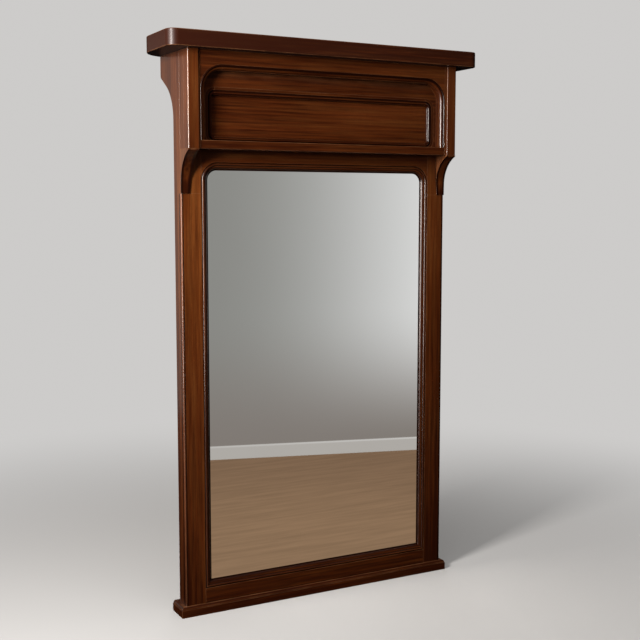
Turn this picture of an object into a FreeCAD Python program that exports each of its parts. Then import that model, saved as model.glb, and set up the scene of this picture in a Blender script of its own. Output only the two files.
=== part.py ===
# Trumeau mirror: a tall upright mirror in a stained hardwood frame, with a projecting frieze box
# under a thick cornice board, curved corbels below the box and a low plinth that stands on the floor.
# Millimetres. +Z is up, the mirror faces -Y, and the origin is the middle of the footprint on the floor.
import FreeCAD, Part
import math
import os

# Overall
TOTAL_HEIGHT = 1900.0
FRAME_WIDTH = 1014.0

# Plinth: the board on the floor, with a rounded nose along its front and ends
PLINTH_HEIGHT = 35.0
PLINTH_DEPTH = 90.0
PLINTH_SIDE_REACH = 18.0
PLINTH_FRONT_REACH = 13.0
PLINTH_NOSE_RADIUS = 9.0
PLINTH_NOSE_STEP = 2.0

# Main frame: two stiles and three rails, joined with mortises and tenons
FRAME_THICKNESS = 30.0
STILE_WIDTH = 71.0
BOTTOM_RAIL_HEIGHT = 50.0
HEAD_HEIGHT = 39.0
MID_RAIL_HEIGHT = 80.0
TOP_RAIL_HEIGHT = 46.0
MIRROR_CORNER_RADIUS = 58.0
SPANDREL_TIP = 0.8
TENON_LENGTH = 40.0
TENON_THICKNESS = 10.0
TENON_SHOULDER = 8.0
JOINT_CLEARANCE = 0.2
STILE_ARRIS_RADIUS = 5.0
STILE_QUIRK_WIDTH = 1.4
STILE_QUIRK_DEPTH = 1.2
STILE_GROOVE_SETBACK = 11.0
STILE_GROOVE_WIDTH = 1.8
STILE_GROOVE_DEPTH = 2.5

# Sight moulding: the beaded strip between the frame and the glass
SIGHT_WIDTH = 26.0
SIGHT_DEPTH = 13.0
SIGHT_QUIRK = 2.5
SIGHT_BEAD_RADIUS = 3.75
SIGHT_PROUD = 1.5
SIGHT_STEP = 3.0
SIGHT_DROP = 1.5
SIGHT_OVOLO_RADIUS = 8.5

# Glass, backing and the strips that hold them
GLASS_THICKNESS = 4.0
GLASS_CLEARANCE = 1.5
BACKING_THICKNESS = 6.0
RETAINER_WIDTH = 12.0
PIN_RADIUS = 0.9
PIN_HEAD_RADIUS = 1.8
PIN_HEAD_HEIGHT = 1.0
PIN_LENGTH = 22.0
PIN_SPACING = 240.0

# Frieze box: posts, sides and a panelled face with a large opening and a smaller sunk panel
FRIEZE_HEIGHT = 308.0
BOX_PROJECTION = 72.0
POST_WIDTH = 37.0
POST_THICKNESS = 37.0
POST_OUTER_RADIUS = 5.0
POST_INNER_RADIUS = 2.0
CHEEK_THICKNESS = 20.0
FRIEZE_SETBACK = 6.0
FRIEZE_STILE_WIDTH = 7.0
FRIEZE_TOP_RAIL = 44.0
FRIEZE_BOTTOM_RAIL = 27.0
FRIEZE_EDGE_RADIUS = 2.0
FRIEZE_CORNER_RADIUS = 78.0
FIELD_THICKNESS = 12.0
PANEL_THICKNESS = 6.0
SOFFIT_THICKNESS = 12.0
SUNK_SIDE_MARGIN = 52.0
SUNK_RISE = 15.0
SUNK_HEIGHT = 179.5
SUNK_CORNER_RADIUS = 34.0

# Opening bead: the moulded edge inside the large frieze opening
OPENING_BEAD_WIDTH = 17.0
OPENING_BEAD_QUIRK = 0.8
OPENING_BEAD_RADIUS = 2.2
OPENING_BEAD_PROUD = 1.0
OPENING_BEAD_STEP = 1.6
OPENING_BEAD_DROP = 1.2
OPENING_BEAD_OVOLO = 8.5

# Sunk bead: the moulded ring round the smaller sunk panel, a flat border and then a bead
SUNK_BEAD_WIDTH = 25.0
SUNK_BEAD_FILLET = 9.0
SUNK_BEAD_QUIRK = 5.0
SUNK_BEAD_RADIUS = 3.75
SUNK_BEAD_PROUD = 1.0
SUNK_BEAD_STEP = 1.5
SUNK_BEAD_DROP = 1.0
SUNK_BEAD_OVOLO = 1.5

# Corbels under the posts
CORBEL_HEIGHT = 140.0
CORBEL_SETBACK = 2.0
CORBEL_LIP = 5.0
CORBEL_TOE = 5.0
CORBEL_TOE_END = 2.5
CORBEL_FOOT_WIDTH = 31.0
CORBEL_TAPER_HEIGHT = 72.0
CORBEL_EDGE_RADIUS = 1.5
CORBEL_SLOPE_DEGREES = 24.0
CORBEL_CURVE_SHARE = 0.97

# Returns: the side boards behind the stiles, deeper at the top where they carry the cornice
RETURN_DEPTH = 27.0
EAR_DEPTH = 140.0
EAR_SHOULDER_DROP = 68.0
EAR_SLOPE_DEGREES = 32.0
EAR_CURVE_RADIUS = 130.0
EAR_SHOULDER_RADIUS = 14.0

# Cornice board
CORNICE_THICKNESS = 52.0
CORNICE_FRONT_REACH = 33.0
CORNICE_SIDE_REACH = 72.0
CORNICE_REAR_REACH = 10.0
CORNICE_FRONT_RADIUS = 33.0
CORNICE_REAR_RADIUS = 100.0
CORNICE_EDGE_RADIUS = 3.0

# Hidden back parts: hanging rail with keyhole plates, back panel, glue blocks and screws
HANGING_RAIL_HEIGHT = 58.0
HANGING_RAIL_THICKNESS = 20.0
HOUSING_DEPTH = 8.0
BACK_PANEL_THICKNESS = 6.0
BACK_PANEL_GAP = 1.0
BLOCK_SIZE = 22.0
BLOCK_LENGTH = 60.0
BLOCK_OFFSET = 28.0
KEYHOLE_SPACING = 700.0
KEYHOLE_PLATE_HEIGHT = 46.0
KEYHOLE_PLATE_WIDTH = 18.0
KEYHOLE_PLATE_THICKNESS = 2.0
KEYHOLE_ENTRY_RADIUS = 5.0
KEYHOLE_SLOT_RADIUS = 2.4
KEYHOLE_SLOT_RISE = 9.0
KEYHOLE_POCKET_MARGIN = 1.0
PLATE_SCREW_INSET = 6.0
SCREW_HEAD_RADIUS = 4.0
SCREW_SHANK_RADIUS = 2.0
SCREW_HEAD_HEIGHT = 2.6
SCREW_SLOT_WIDTH = 1.0
SCREW_SLOT_DEPTH = 1.0
SCREW_CLEARANCE = 0.1
SCREW_RECESS = 0.6
PLINTH_SCREW_LENGTH = 75.0
BLOCK_SCREW_LENGTH = 50.0
PANEL_SCREW_LENGTH = 20.0
PLATE_SCREW_LENGTH = 16.0
SCREW_EDGE_MARGIN = 14.0

# Places along a width or height, as shares of it
PLINTH_SCREW_SHARES = (-0.42, 0.0, 0.42)
TOP_BLOCK_SHARES = (-0.6, 0.0, 0.6)
PANEL_SCREW_SHARES = (0.0, 0.34, 0.67, 1.0)

# How far a cutting tool runs past the face that it cuts
OVERRUN = 5.0

# Levels
z_cornice = TOTAL_HEIGHT - CORNICE_THICKNESS
z_box = z_cornice - FRIEZE_HEIGHT
z_opening_top = z_box - HEAD_HEIGHT
z_opening_bottom = PLINTH_HEIGHT + BOTTOM_RAIL_HEIGHT
z_corbel = z_box - CORBEL_HEIGHT
z_frieze_top = z_cornice - FRIEZE_TOP_RAIL
z_frieze_bottom = z_box + FRIEZE_BOTTOM_RAIL
z_sunk_bottom = z_frieze_bottom + SUNK_RISE - SUNK_BEAD_WIDTH
z_sunk_top = z_sunk_bottom + SUNK_HEIGHT
z_panel_bottom = z_opening_top + MID_RAIL_HEIGHT / 2
z_panel_top = z_cornice - BLOCK_SIZE - BACK_PANEL_GAP

# Half widths
frame_half = FRAME_WIDTH / 2
opening_half = frame_half - STILE_WIDTH
cheek_half = frame_half - CHEEK_THICKNESS
post_half = frame_half - POST_WIDTH
frieze_half = post_half - FRIEZE_STILE_WIDTH
sunk_half = cheek_half - SUNK_SIDE_MARGIN
cornice_half = frame_half + CORNICE_SIDE_REACH

# Depths, front to back
cornice_depth = CORNICE_FRONT_REACH + BOX_PROJECTION + FRAME_THICKNESS + EAR_DEPTH + CORNICE_REAR_REACH
y_cornice = -cornice_depth / 2
y_box = y_cornice + CORNICE_FRONT_REACH
y_frieze = y_box + FRIEZE_SETBACK
y_field = y_box + POST_THICKNESS
y_panel = y_field + FIELD_THICKNESS
y_front = y_box + BOX_PROJECTION
y_glass = y_front + SIGHT_DEPTH
y_backing = y_glass + GLASS_THICKNESS
y_retainer = y_backing + BACKING_THICKNESS
y_back = y_front + FRAME_THICKNESS
y_return = y_back + RETURN_DEPTH
y_ear = y_back + EAR_DEPTH
y_frame_middle = y_front + FRAME_THICKNESS / 2


def vec(x, y, z):
    return FreeCAD.Vector(x, y, z)


X_AXIS = vec(1, 0, 0)
Y_AXIS = vec(0, 1, 0)
Z_AXIS = vec(0, 0, 1)


def block(x0, x1, y0, y1, z0, z1):
    """Rectangular block between two corners."""
    return Part.makeBox(x1 - x0, y1 - y0, z1 - z0, vec(x0, y0, z0))


def mirrored(shape):
    """The same piece on the other side of the middle plane."""
    return shape.mirror(vec(0, 0, 0), X_AXIS)


def rounded_wire(corners, radii):
    """Closed wire through the corners, with each corner turned on an arc of its own radius."""
    count = len(corners)
    spans = []
    for i in range(count):
        before, here, after = corners[i - 1], corners[i], corners[(i + 1) % count]
        to_before = (before - here).normalize()
        to_after = (after - here).normalize()
        half_angle = to_before.getAngle(to_after) / 2
        reach = radii[i] / math.tan(half_angle)
        start = here + to_before * reach
        end = here + to_after * reach
        rise = radii[i] / math.sin(half_angle) - radii[i]
        middle = here + (to_before + to_after).normalize() * rise
        spans.append((start, middle, end, radii[i]))
    edges = []
    for i in range(count):
        start, middle, end, radius = spans[i]
        if radius > 0:
            edges.append(Part.Arc(start, middle, end).toShape())
        following = spans[(i + 1) % count][0]
        if (following - end).Length > Part.Precision.confusion():
            edges.append(Part.LineSegment(end, following).toShape())
    return Part.Wire(edges)


def solid_from(wire, travel):
    """Prism swept from a flat closed wire."""
    return Part.Face(wire).extrude(travel)


def outline_xz(half_width, z0, z1, bottom_radius, top_radius, y):
    """Upright rectangle with rounded corners, in a plane that faces the front."""
    corners = [vec(-half_width, y, z0), vec(half_width, y, z0)]
    corners += [vec(half_width, y, z1), vec(-half_width, y, z1)]
    return rounded_wire(corners, [bottom_radius, bottom_radius, top_radius, top_radius])


def polygon_xz(points, y0, y1):
    """Prism between two upright planes, from (x, z) points."""
    corners = [vec(x, y0, z) for x, z in points]
    return solid_from(Part.makePolygon(corners + corners[:1]), vec(0, y1 - y0, 0))


class Moulding:
    """Section of a beaded moulding. u runs inwards from the opening's edge, v runs back from its face."""

    def __init__(self, width, depth, quirk, bead, proud, step, drop, ovolo, fillet=0):
        self.width = width
        self.depth = depth
        self.fillet = fillet
        self.quirk = quirk
        self.bead = bead
        self.proud = proud
        self.step = step
        self.drop = drop
        self.ovolo = ovolo

    def section(self, place):
        """Flat face of the section, where place turns (u, v) into a point."""
        foot = self.bead - self.proud
        near = self.fillet + self.quirk
        far = near + 2 * self.bead
        ledge = foot + self.drop
        inner = far + self.step
        floor = ledge + self.ovolo
        turn = math.sqrt(0.5) * self.ovolo
        crest = place(near + self.bead, -self.proud)
        bead = Part.Arc(place(near, foot), crest, place(far, foot))
        swell = place(inner + turn, floor - turn)
        ovolo = Part.Arc(place(inner, ledge), swell, place(inner + self.ovolo, floor))
        steps = [place(far, foot), place(far, ledge), place(inner, ledge)]
        back = [place(inner + self.ovolo, floor), place(self.width, floor), place(self.width, self.depth),
                place(0, self.depth)]
        if self.fillet > 0:
            back += [place(0, 0), place(self.fillet, 0)]
        back += [place(self.fillet, foot), place(near, foot)]
        edges = [bead.toShape()] + Part.makePolygon(steps).Edges + [ovolo.toShape()]
        return Part.Face(Part.Wire(edges + Part.makePolygon(back).Edges))

    def run(self, start, inward, travel):
        """Straight length: start is on the opening's edge, in the face plane."""
        return self.section(lambda u, v: start + inward * u + Y_AXIS * v).extrude(travel)

    def turn(self, centre, radius, direction, degrees):
        """Quarter turn about an axis along Y, starting where direction points from the centre."""
        face = self.section(lambda u, v: centre + direction * (radius - u) + Y_AXIS * v)
        return face.revolve(centre, Y_AXIS, degrees)


sight = Moulding(SIGHT_WIDTH, SIGHT_DEPTH, SIGHT_QUIRK, SIGHT_BEAD_RADIUS, SIGHT_PROUD,
                 SIGHT_STEP, SIGHT_DROP, SIGHT_OVOLO_RADIUS)
opening_bead = Moulding(OPENING_BEAD_WIDTH, POST_THICKNESS - FRIEZE_SETBACK, OPENING_BEAD_QUIRK,
                        OPENING_BEAD_RADIUS, OPENING_BEAD_PROUD, OPENING_BEAD_STEP,
                        OPENING_BEAD_DROP, OPENING_BEAD_OVOLO)
sunk_bead = Moulding(SUNK_BEAD_WIDTH, FIELD_THICKNESS, SUNK_BEAD_QUIRK, SUNK_BEAD_RADIUS, SUNK_BEAD_PROUD,
                     SUNK_BEAD_STEP, SUNK_BEAD_DROP, SUNK_BEAD_OVOLO, SUNK_BEAD_FILLET)


def fastener(point, direction, length, head, shank, head_height, grow=0):
    """Countersunk screw or pin: point is the middle of its head, direction is the way that it is driven."""
    body = Part.makeCone(head + grow, shank + grow, head_height, point, direction)
    taper = 2 * shank
    body = body.fuse(Part.makeCylinder(shank + grow, length - taper, point, direction))
    tip = Part.makeCone(shank + grow, 0, taper, point + direction * (length - taper), direction)
    return body.fuse(tip).removeSplitter()


def wood_screw(point, direction, length):
    """Slotted wood screw."""
    screw = fastener(point, direction, length, SCREW_HEAD_RADIUS, SCREW_SHANK_RADIUS, SCREW_HEAD_HEIGHT)
    across = Z_AXIS if abs(direction.z) < abs(direction.y) else X_AXIS
    side = direction.cross(across)
    start = point - across * SCREW_HEAD_RADIUS - side * (SCREW_SLOT_WIDTH / 2)
    corners = [start, start + across * (2 * SCREW_HEAD_RADIUS)]
    corners += [corners[1] + side * SCREW_SLOT_WIDTH, start + side * SCREW_SLOT_WIDTH, start]
    return screw.cut(solid_from(Part.makePolygon(corners), direction * SCREW_SLOT_DEPTH))


def screw_hole(point, direction, length):
    """Room for a wood screw, open above its head."""
    hole = fastener(point, direction, length, SCREW_HEAD_RADIUS, SCREW_SHANK_RADIUS,
                    SCREW_HEAD_HEIGHT, SCREW_CLEARANCE)
    mouth = Part.makeCylinder(SCREW_HEAD_RADIUS + SCREW_CLEARANCE, OVERRUN, point, direction * -1)
    return hole.fuse(mouth)


def pin_at(point, direction, grow=0):
    """Panel pin, or the room for one."""
    return fastener(point, direction, PIN_LENGTH, PIN_HEAD_RADIUS, PIN_RADIUS, PIN_HEAD_HEIGHT, grow)


def cut_all(shape, tools):
    """Cuts the tools that reach the shape out of it."""
    near = [tool for tool in tools if tool.BoundBox.intersect(shape.BoundBox)]
    return shape.cut(Part.makeCompound(near)) if near else shape


# Fastener places: each is (point, direction, length)

def plinth_screws():
    at_stiles = frame_half - STILE_WIDTH / 2
    places = [-at_stiles] + [share * FRAME_WIDTH / 2 for share in PLINTH_SCREW_SHARES] + [at_stiles]
    return [(vec(x, y_frame_middle, SCREW_RECESS), Z_AXIS, PLINTH_SCREW_LENGTH) for x in places]


def block_places():
    """Places of the glue blocks under the cornice: (corner, way across the cornice, way along the block)."""
    places = []
    for share in TOP_BLOCK_SHARES:
        corner = vec(share * opening_half - BLOCK_LENGTH / 2, y_back, z_cornice)
        places.append((corner, Y_AXIS, X_AXIS))
    for side in (-1, 1):
        corner = vec(side * cheek_half, y_back + BLOCK_OFFSET, z_cornice)
        places.append((corner, X_AXIS * -side, Y_AXIS))
    return places


def block_screws():
    found = []
    for corner, across, along in block_places():
        foot = corner + across * (BLOCK_SIZE / 2) + along * (BLOCK_LENGTH / 2) - Z_AXIS * (BLOCK_SIZE / 2)
        found.append((foot + Z_AXIS * SCREW_RECESS, Z_AXIS, BLOCK_SCREW_LENGTH))
    return found


def panel_screws():
    left = -cheek_half + BACK_PANEL_GAP + SCREW_EDGE_MARGIN
    low = z_panel_bottom + SCREW_EDGE_MARGIN
    high = z_panel_top - SCREW_EDGE_MARGIN
    y = y_back + BACK_PANEL_THICKNESS
    xs = [left - 2 * left * share for share in PANEL_SCREW_SHARES]
    places = [(x, z) for x in xs for z in (low, high)]
    places += [(x, (low + high) / 2) for x in (left, -left)]
    return [(vec(x, y, z), Y_AXIS * -1, PANEL_SCREW_LENGTH) for x, z in places]


def keyhole_centres():
    z = z_cornice - HANGING_RAIL_HEIGHT / 2
    return [vec(side * KEYHOLE_SPACING / 2, y_ear, z) for side in (-1, 1)]


def plate_screws():
    rise = KEYHOLE_PLATE_HEIGHT / 2 - PLATE_SCREW_INSET
    points = [centre + Z_AXIS * offset for centre in keyhole_centres() for offset in (-rise, rise)]
    return [(point, Y_AXIS * -1, PLATE_SCREW_LENGTH) for point in points]


def spread(low, high, spacing):
    """Even places between two ends, half a step in from each."""
    count = max(1, round((high - low) / spacing))
    step = (high - low) / count
    return [low + step * (i + 0.5) for i in range(count)]


def pin_places():
    y = y_retainer + (y_back - y_retainer) / 2
    inner = opening_half - RETAINER_WIDTH
    places = []
    for z in spread(z_opening_bottom + RETAINER_WIDTH, z_opening_top - MIRROR_CORNER_RADIUS, PIN_SPACING):
        places.append((vec(-inner, y, z), X_AXIS * -1))
        places.append((vec(inner, y, z), X_AXIS))
    reach = opening_half - MIRROR_CORNER_RADIUS
    for x in spread(-reach, reach, PIN_SPACING):
        places.append((vec(x, y, z_opening_bottom + RETAINER_WIDTH), Z_AXIS * -1))
        places.append((vec(x, y, z_opening_top - RETAINER_WIDTH), Z_AXIS))
    return places


def holes(screws):
    return [screw_hole(point, direction, length) for point, direction, length in screws]


def pin_holes():
    return [pin_at(point, direction, SCREW_CLEARANCE) for point, direction in pin_places()]


# Plinth and main frame

def plinth():
    half = frame_half + PLINTH_SIDE_REACH
    y0 = y_front - PLINTH_FRONT_REACH
    y1 = y0 + PLINTH_DEPTH
    z_step = PLINTH_HEIGHT - PLINTH_NOSE_RADIUS
    base = block(-half, half, y0, y1, 0, z_step)
    nose_half = half - PLINTH_NOSE_STEP
    y_nose = y0 + PLINTH_NOSE_STEP
    nose = block(-nose_half, nose_half, y_nose, y1, 0, PLINTH_HEIGHT)
    rounded = [
        edge for edge in nose.Edges
        if edge.BoundBox.ZMin > z_step and edge.CenterOfMass.y < y1 - PLINTH_NOSE_STEP
    ]
    nose = nose.makeFillet(PLINTH_NOSE_RADIUS - PLINTH_NOSE_STEP, rounded)
    return cut_all(base.fuse(nose).removeSplitter(), holes(plinth_screws()))


def tenon(rail_bottom, rail_top, grow=0):
    """Tenon at the left end of a rail, or the mortise for it."""
    middle = y_frame_middle
    thick = TENON_THICKNESS / 2 + grow
    x0 = -opening_half - TENON_LENGTH - grow
    return block(x0, -opening_half, middle - thick, middle + thick,
                 rail_bottom + TENON_SHOULDER - grow, rail_top - TENON_SHOULDER + grow)


RAIL_LEVELS = (
    (PLINTH_HEIGHT, z_opening_bottom),
    (z_opening_top, z_opening_top + MID_RAIL_HEIGHT),
    (z_cornice - TOP_RAIL_HEIGHT, z_cornice),
)


def stile_section(moulded, z):
    """Plan of the left stile: plain, or with a rounded front corner between a quirk and a side groove."""
    outer, inner = -frame_half, -opening_half
    if not moulded:
        return Part.makePolygon([vec(outer, y_front, z), vec(inner, y_front, z), vec(inner, y_back, z),
                                 vec(outer, y_back, z), vec(outer, y_front, z)])
    r = STILE_ARRIS_RADIUS
    turn = r - math.sqrt(0.5) * r
    side, front = vec(outer, y_front + r, z), vec(outer + r, y_front, z)
    arris = Part.Arc(side, vec(outer + turn, y_front + turn, z), front)
    quirk_end = outer + r + STILE_QUIRK_WIDTH
    groove_front = y_front + STILE_GROOVE_SETBACK
    groove_back = groove_front + STILE_GROOVE_WIDTH
    groove_floor = outer + STILE_GROOVE_DEPTH
    rest = [
        front,
        vec(outer + r, y_front + STILE_QUIRK_DEPTH, z),
        vec(quirk_end, y_front + STILE_QUIRK_DEPTH, z),
        vec(quirk_end, y_front, z),
        vec(inner, y_front, z),
        vec(inner, y_back, z),
        vec(outer, y_back, z),
        vec(outer, groove_back, z),
        vec(groove_floor, groove_back, z),
        vec(groove_floor, groove_front, z),
        vec(outer, groove_front, z),
        side,
    ]
    return Part.Wire([arris.toShape()] + Part.makePolygon(rest).Edges)


def left_stile():
    lower = solid_from(stile_section(True, PLINTH_HEIGHT), Z_AXIS * (z_corbel - PLINTH_HEIGHT))
    upper = solid_from(stile_section(False, z_corbel), Z_AXIS * (z_cornice - z_corbel))
    shape = lower.fuse(upper).removeSplitter()
    tools = [tenon(low, high, JOINT_CLEARANCE) for low, high in RAIL_LEVELS]
    return cut_all(shape, tools + holes(plinth_screws() + panel_screws()) + pin_holes())


def rail(low, high):
    """Rail between the stiles, with a tenon at each end."""
    shape = block(-opening_half, opening_half, y_front, y_back, low, high)
    end = tenon(low, high)
    return shape.fuse([end, mirrored(end)]).removeSplitter()


def bottom_rail():
    return cut_all(rail(*RAIL_LEVELS[0]), holes(plinth_screws()) + pin_holes())


def spandrel_foot(corner_radius, level):
    """Height at which a spandrel's tip has its full thickness."""
    return level - corner_radius + math.sqrt(2 * corner_radius * SPANDREL_TIP - SPANDREL_TIP ** 2)


def mid_rail():
    """Rail over the glass. Its ends run down the stiles to round the opening's corners."""
    low, high = RAIL_LEVELS[1]
    foot = spandrel_foot(MIRROR_CORNER_RADIUS, z_opening_top)
    ends = block(-opening_half, opening_half, y_front, y_back, foot, low)
    opening = outline_xz(opening_half, z_opening_bottom, z_opening_top, 0, MIRROR_CORNER_RADIUS, y_front)
    shape = rail(low, high).fuse(ends.cut(solid_from(opening, Y_AXIS * FRAME_THICKNESS))).removeSplitter()
    return cut_all(shape, holes(panel_screws()) + pin_holes())


def top_rail():
    return cut_all(rail(*RAIL_LEVELS[2]), holes(panel_screws()))


# Sight moulding round the glass

def sight_side():
    start = vec(-opening_half, y_front, z_opening_bottom)
    top = z_opening_top - MIRROR_CORNER_RADIUS
    run = sight.run(start, X_AXIS, Z_AXIS * (top - z_opening_bottom))
    inner = -opening_half + SIGHT_WIDTH
    mitre = [(-opening_half, z_opening_bottom), (inner, z_opening_bottom + SIGHT_WIDTH)]
    mitre += [(inner, top), (-opening_half, top)]
    return run.common(polygon_xz(mitre, y_front - SIGHT_PROUD, y_glass))


def sight_bottom():
    start = vec(-opening_half, y_front, z_opening_bottom)
    run = sight.run(start, Z_AXIS, X_AXIS * (2 * opening_half))
    inner = opening_half - SIGHT_WIDTH
    upper = z_opening_bottom + SIGHT_WIDTH
    mitre = [(-opening_half, z_opening_bottom), (opening_half, z_opening_bottom)]
    mitre += [(inner, upper), (-inner, upper)]
    return run.common(polygon_xz(mitre, y_front - SIGHT_PROUD, y_glass))


def sight_top():
    reach = opening_half - MIRROR_CORNER_RADIUS
    start = vec(-reach, y_front, z_opening_top)
    return sight.run(start, Z_AXIS * -1, X_AXIS * (2 * reach))


def sight_corner():
    centre = vec(-opening_half + MIRROR_CORNER_RADIUS, y_front, z_opening_top - MIRROR_CORNER_RADIUS)
    return sight.turn(centre, MIRROR_CORNER_RADIUS, X_AXIS * -1, 90)


# Glass and what holds it

def plate(y, thickness):
    """Plate that fills the opening behind the sight moulding, with the opening's rounded corners."""
    gap = GLASS_CLEARANCE
    wire = outline_xz(opening_half - gap, z_opening_bottom + gap, z_opening_top - gap,
                      0, MIRROR_CORNER_RADIUS - gap, y)
    return solid_from(wire, Y_AXIS * thickness)


def retainer_side():
    shape = block(-opening_half, -opening_half + RETAINER_WIDTH, y_retainer, y_back,
                  z_opening_bottom, z_opening_top - MIRROR_CORNER_RADIUS)
    return cut_all(shape, pin_holes())


def retainer_bottom():
    inner = opening_half - RETAINER_WIDTH
    shape = block(-inner, inner, y_retainer, y_back, z_opening_bottom, z_opening_bottom + RETAINER_WIDTH)
    return cut_all(shape, pin_holes())


def retainer_top():
    reach = opening_half - MIRROR_CORNER_RADIUS
    shape = block(-reach, reach, y_retainer, y_back, z_opening_top - RETAINER_WIDTH, z_opening_top)
    return cut_all(shape, pin_holes())


# Frieze box

def left_post():
    corners = [vec(-frame_half, y_box, z_box), vec(-post_half, y_box, z_box),
               vec(-post_half, y_field, z_box), vec(-frame_half, y_field, z_box)]
    wire = rounded_wire(corners, [POST_OUTER_RADIUS, POST_INNER_RADIUS, 0, 0])
    return solid_from(wire, Z_AXIS * FRIEZE_HEIGHT)


def left_box_side():
    return block(-frame_half, -cheek_half, y_field, y_front, z_box, z_cornice)


def left_frieze_stile():
    return block(-post_half, -frieze_half, y_frieze, y_field, z_box, z_cornice)


def frieze_bottom_rail():
    shape = block(-frieze_half, frieze_half, y_frieze, y_field, z_box, z_frieze_bottom)
    front = [
        edge for edge in shape.Edges
        if edge.BoundBox.YMax < y_field and edge.BoundBox.XLength > frieze_half
    ]
    return shape.makeFillet(FRIEZE_EDGE_RADIUS, front)


def frieze_top_rail():
    """Rail under the cornice. Its ends run down the frieze stiles to round the opening's corners."""
    foot = spandrel_foot(FRIEZE_CORNER_RADIUS, z_frieze_top)
    shape = block(-frieze_half, frieze_half, y_frieze, y_field, foot, z_cornice)
    opening = outline_xz(frieze_half, z_frieze_bottom, z_frieze_top, 0, FRIEZE_CORNER_RADIUS, y_frieze)
    return shape.cut(solid_from(opening, Y_AXIS * (y_field - y_frieze)))


def opening_bead_side():
    start = vec(-frieze_half, y_frieze, z_frieze_bottom)
    length = z_frieze_top - FRIEZE_CORNER_RADIUS - z_frieze_bottom
    return opening_bead.run(start, X_AXIS, Z_AXIS * length)


def opening_bead_top():
    reach = frieze_half - FRIEZE_CORNER_RADIUS
    return opening_bead.run(vec(-reach, y_frieze, z_frieze_top), Z_AXIS * -1, X_AXIS * (2 * reach))


def opening_bead_corner():
    centre = vec(-frieze_half + FRIEZE_CORNER_RADIUS, y_frieze, z_frieze_top - FRIEZE_CORNER_RADIUS)
    return opening_bead.turn(centre, FRIEZE_CORNER_RADIUS, X_AXIS * -1, 90)


def frieze_field():
    """Board behind the large opening, cut through for the sunk panel."""
    shape = block(-cheek_half, cheek_half, y_field, y_panel, z_box, z_cornice)
    hole = outline_xz(sunk_half, z_sunk_bottom, z_sunk_top, SUNK_CORNER_RADIUS, SUNK_CORNER_RADIUS, y_field)
    return shape.cut(solid_from(hole, Y_AXIS * FIELD_THICKNESS))


def frieze_panel():
    return block(-cheek_half, cheek_half, y_panel, y_panel + PANEL_THICKNESS, z_box, z_cornice)


def sunk_bead_rail(level, inward):
    """Straight length of the ring, at the sunk panel's top or bottom edge."""
    reach = sunk_half - SUNK_CORNER_RADIUS
    return sunk_bead.run(vec(-reach, y_field, level), inward, X_AXIS * (2 * reach))


def sunk_bead_end():
    """Left end of the ring: a short upright and its two quarter turns."""
    low = z_sunk_bottom + SUNK_CORNER_RADIUS
    high = z_sunk_top - SUNK_CORNER_RADIUS
    x = -sunk_half + SUNK_CORNER_RADIUS
    upright = sunk_bead.run(vec(-sunk_half, y_field, low), X_AXIS, Z_AXIS * (high - low))
    upper = sunk_bead.turn(vec(x, y_field, high), SUNK_CORNER_RADIUS, X_AXIS * -1, 90)
    lower = sunk_bead.turn(vec(x, y_field, low), SUNK_CORNER_RADIUS, X_AXIS * -1, -90)
    return upright.fuse([upper, lower]).removeSplitter()


def soffit():
    return block(-cheek_half, cheek_half, y_panel + PANEL_THICKNESS, y_front, z_box, z_box + SOFFIT_THICKNESS)


def left_corbel():
    """Bracket under the post: a short lip, then a hollow curve that runs down to a thin, narrower toe."""
    top_front = y_box + CORBEL_SETBACK
    toe = y_front - CORBEL_TOE
    toe_end = y_front - CORBEL_TOE_END
    z_lip = z_box - CORBEL_LIP
    slope = math.radians(CORBEL_SLOPE_DEGREES)
    z_knee = z_lip - (toe - top_front) * math.tan(slope)
    run = (toe - top_front) / math.cos(slope)
    radius = CORBEL_CURVE_SHARE * run / math.tan((math.pi / 2 - slope) / 2)
    corners = [
        vec(-frame_half, y_front, z_box),
        vec(-frame_half, top_front, z_box),
        vec(-frame_half, top_front, z_lip),
        vec(-frame_half, toe, z_knee),
        vec(-frame_half, toe_end, z_corbel),
        vec(-frame_half, y_front, z_corbel),
    ]
    shape = solid_from(rounded_wire(corners, [0, 0, 0, radius, 0, 0]), X_AXIS * POST_WIDTH)
    hollow = [
        edge for edge in shape.Edges
        if edge.BoundBox.XLength < CORBEL_EDGE_RADIUS
        and edge.BoundBox.YMax < y_front - CORBEL_TOE_END / 2
        and edge.BoundBox.ZLength > CORBEL_LIP * 2
    ]
    shape = shape.makeFillet(CORBEL_EDGE_RADIUS, hollow)
    foot = -frame_half + CORBEL_FOOT_WIDTH
    taper = [(-post_half, z_corbel + CORBEL_TAPER_HEIGHT), (foot, z_corbel), (-post_half, z_corbel)]
    return shape.cut(polygon_xz(taper, y_box, y_front))


# Returns, cornice and back parts

def hanging_rail_block(grow=0):
    half = cheek_half + HOUSING_DEPTH + grow
    z0 = z_cornice - HANGING_RAIL_HEIGHT - grow
    return block(-half, half, y_ear - HANGING_RAIL_THICKNESS - grow, y_ear + grow, z0, z_cornice + grow)


def left_return():
    """Side board behind the stile. Its rear edge sweeps back to a deep ear under the cornice."""
    slope = math.tan(math.radians(EAR_SLOPE_DEGREES))
    z_shoulder = z_cornice - EAR_SHOULDER_DROP
    z_knee = z_shoulder - (y_ear - y_return) * slope
    corners = [
        vec(-frame_half, y_back, PLINTH_HEIGHT),
        vec(-frame_half, y_return, PLINTH_HEIGHT),
        vec(-frame_half, y_return, z_knee),
        vec(-frame_half, y_ear, z_shoulder),
        vec(-frame_half, y_ear, z_cornice),
        vec(-frame_half, y_back, z_cornice),
    ]
    shape = solid_from(rounded_wire(corners, [0, 0, EAR_CURVE_RADIUS, EAR_SHOULDER_RADIUS, 0, 0]),
                       X_AXIS * CHEEK_THICKNESS)
    return cut_all(shape, [hanging_rail_block(JOINT_CLEARANCE)])


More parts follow.
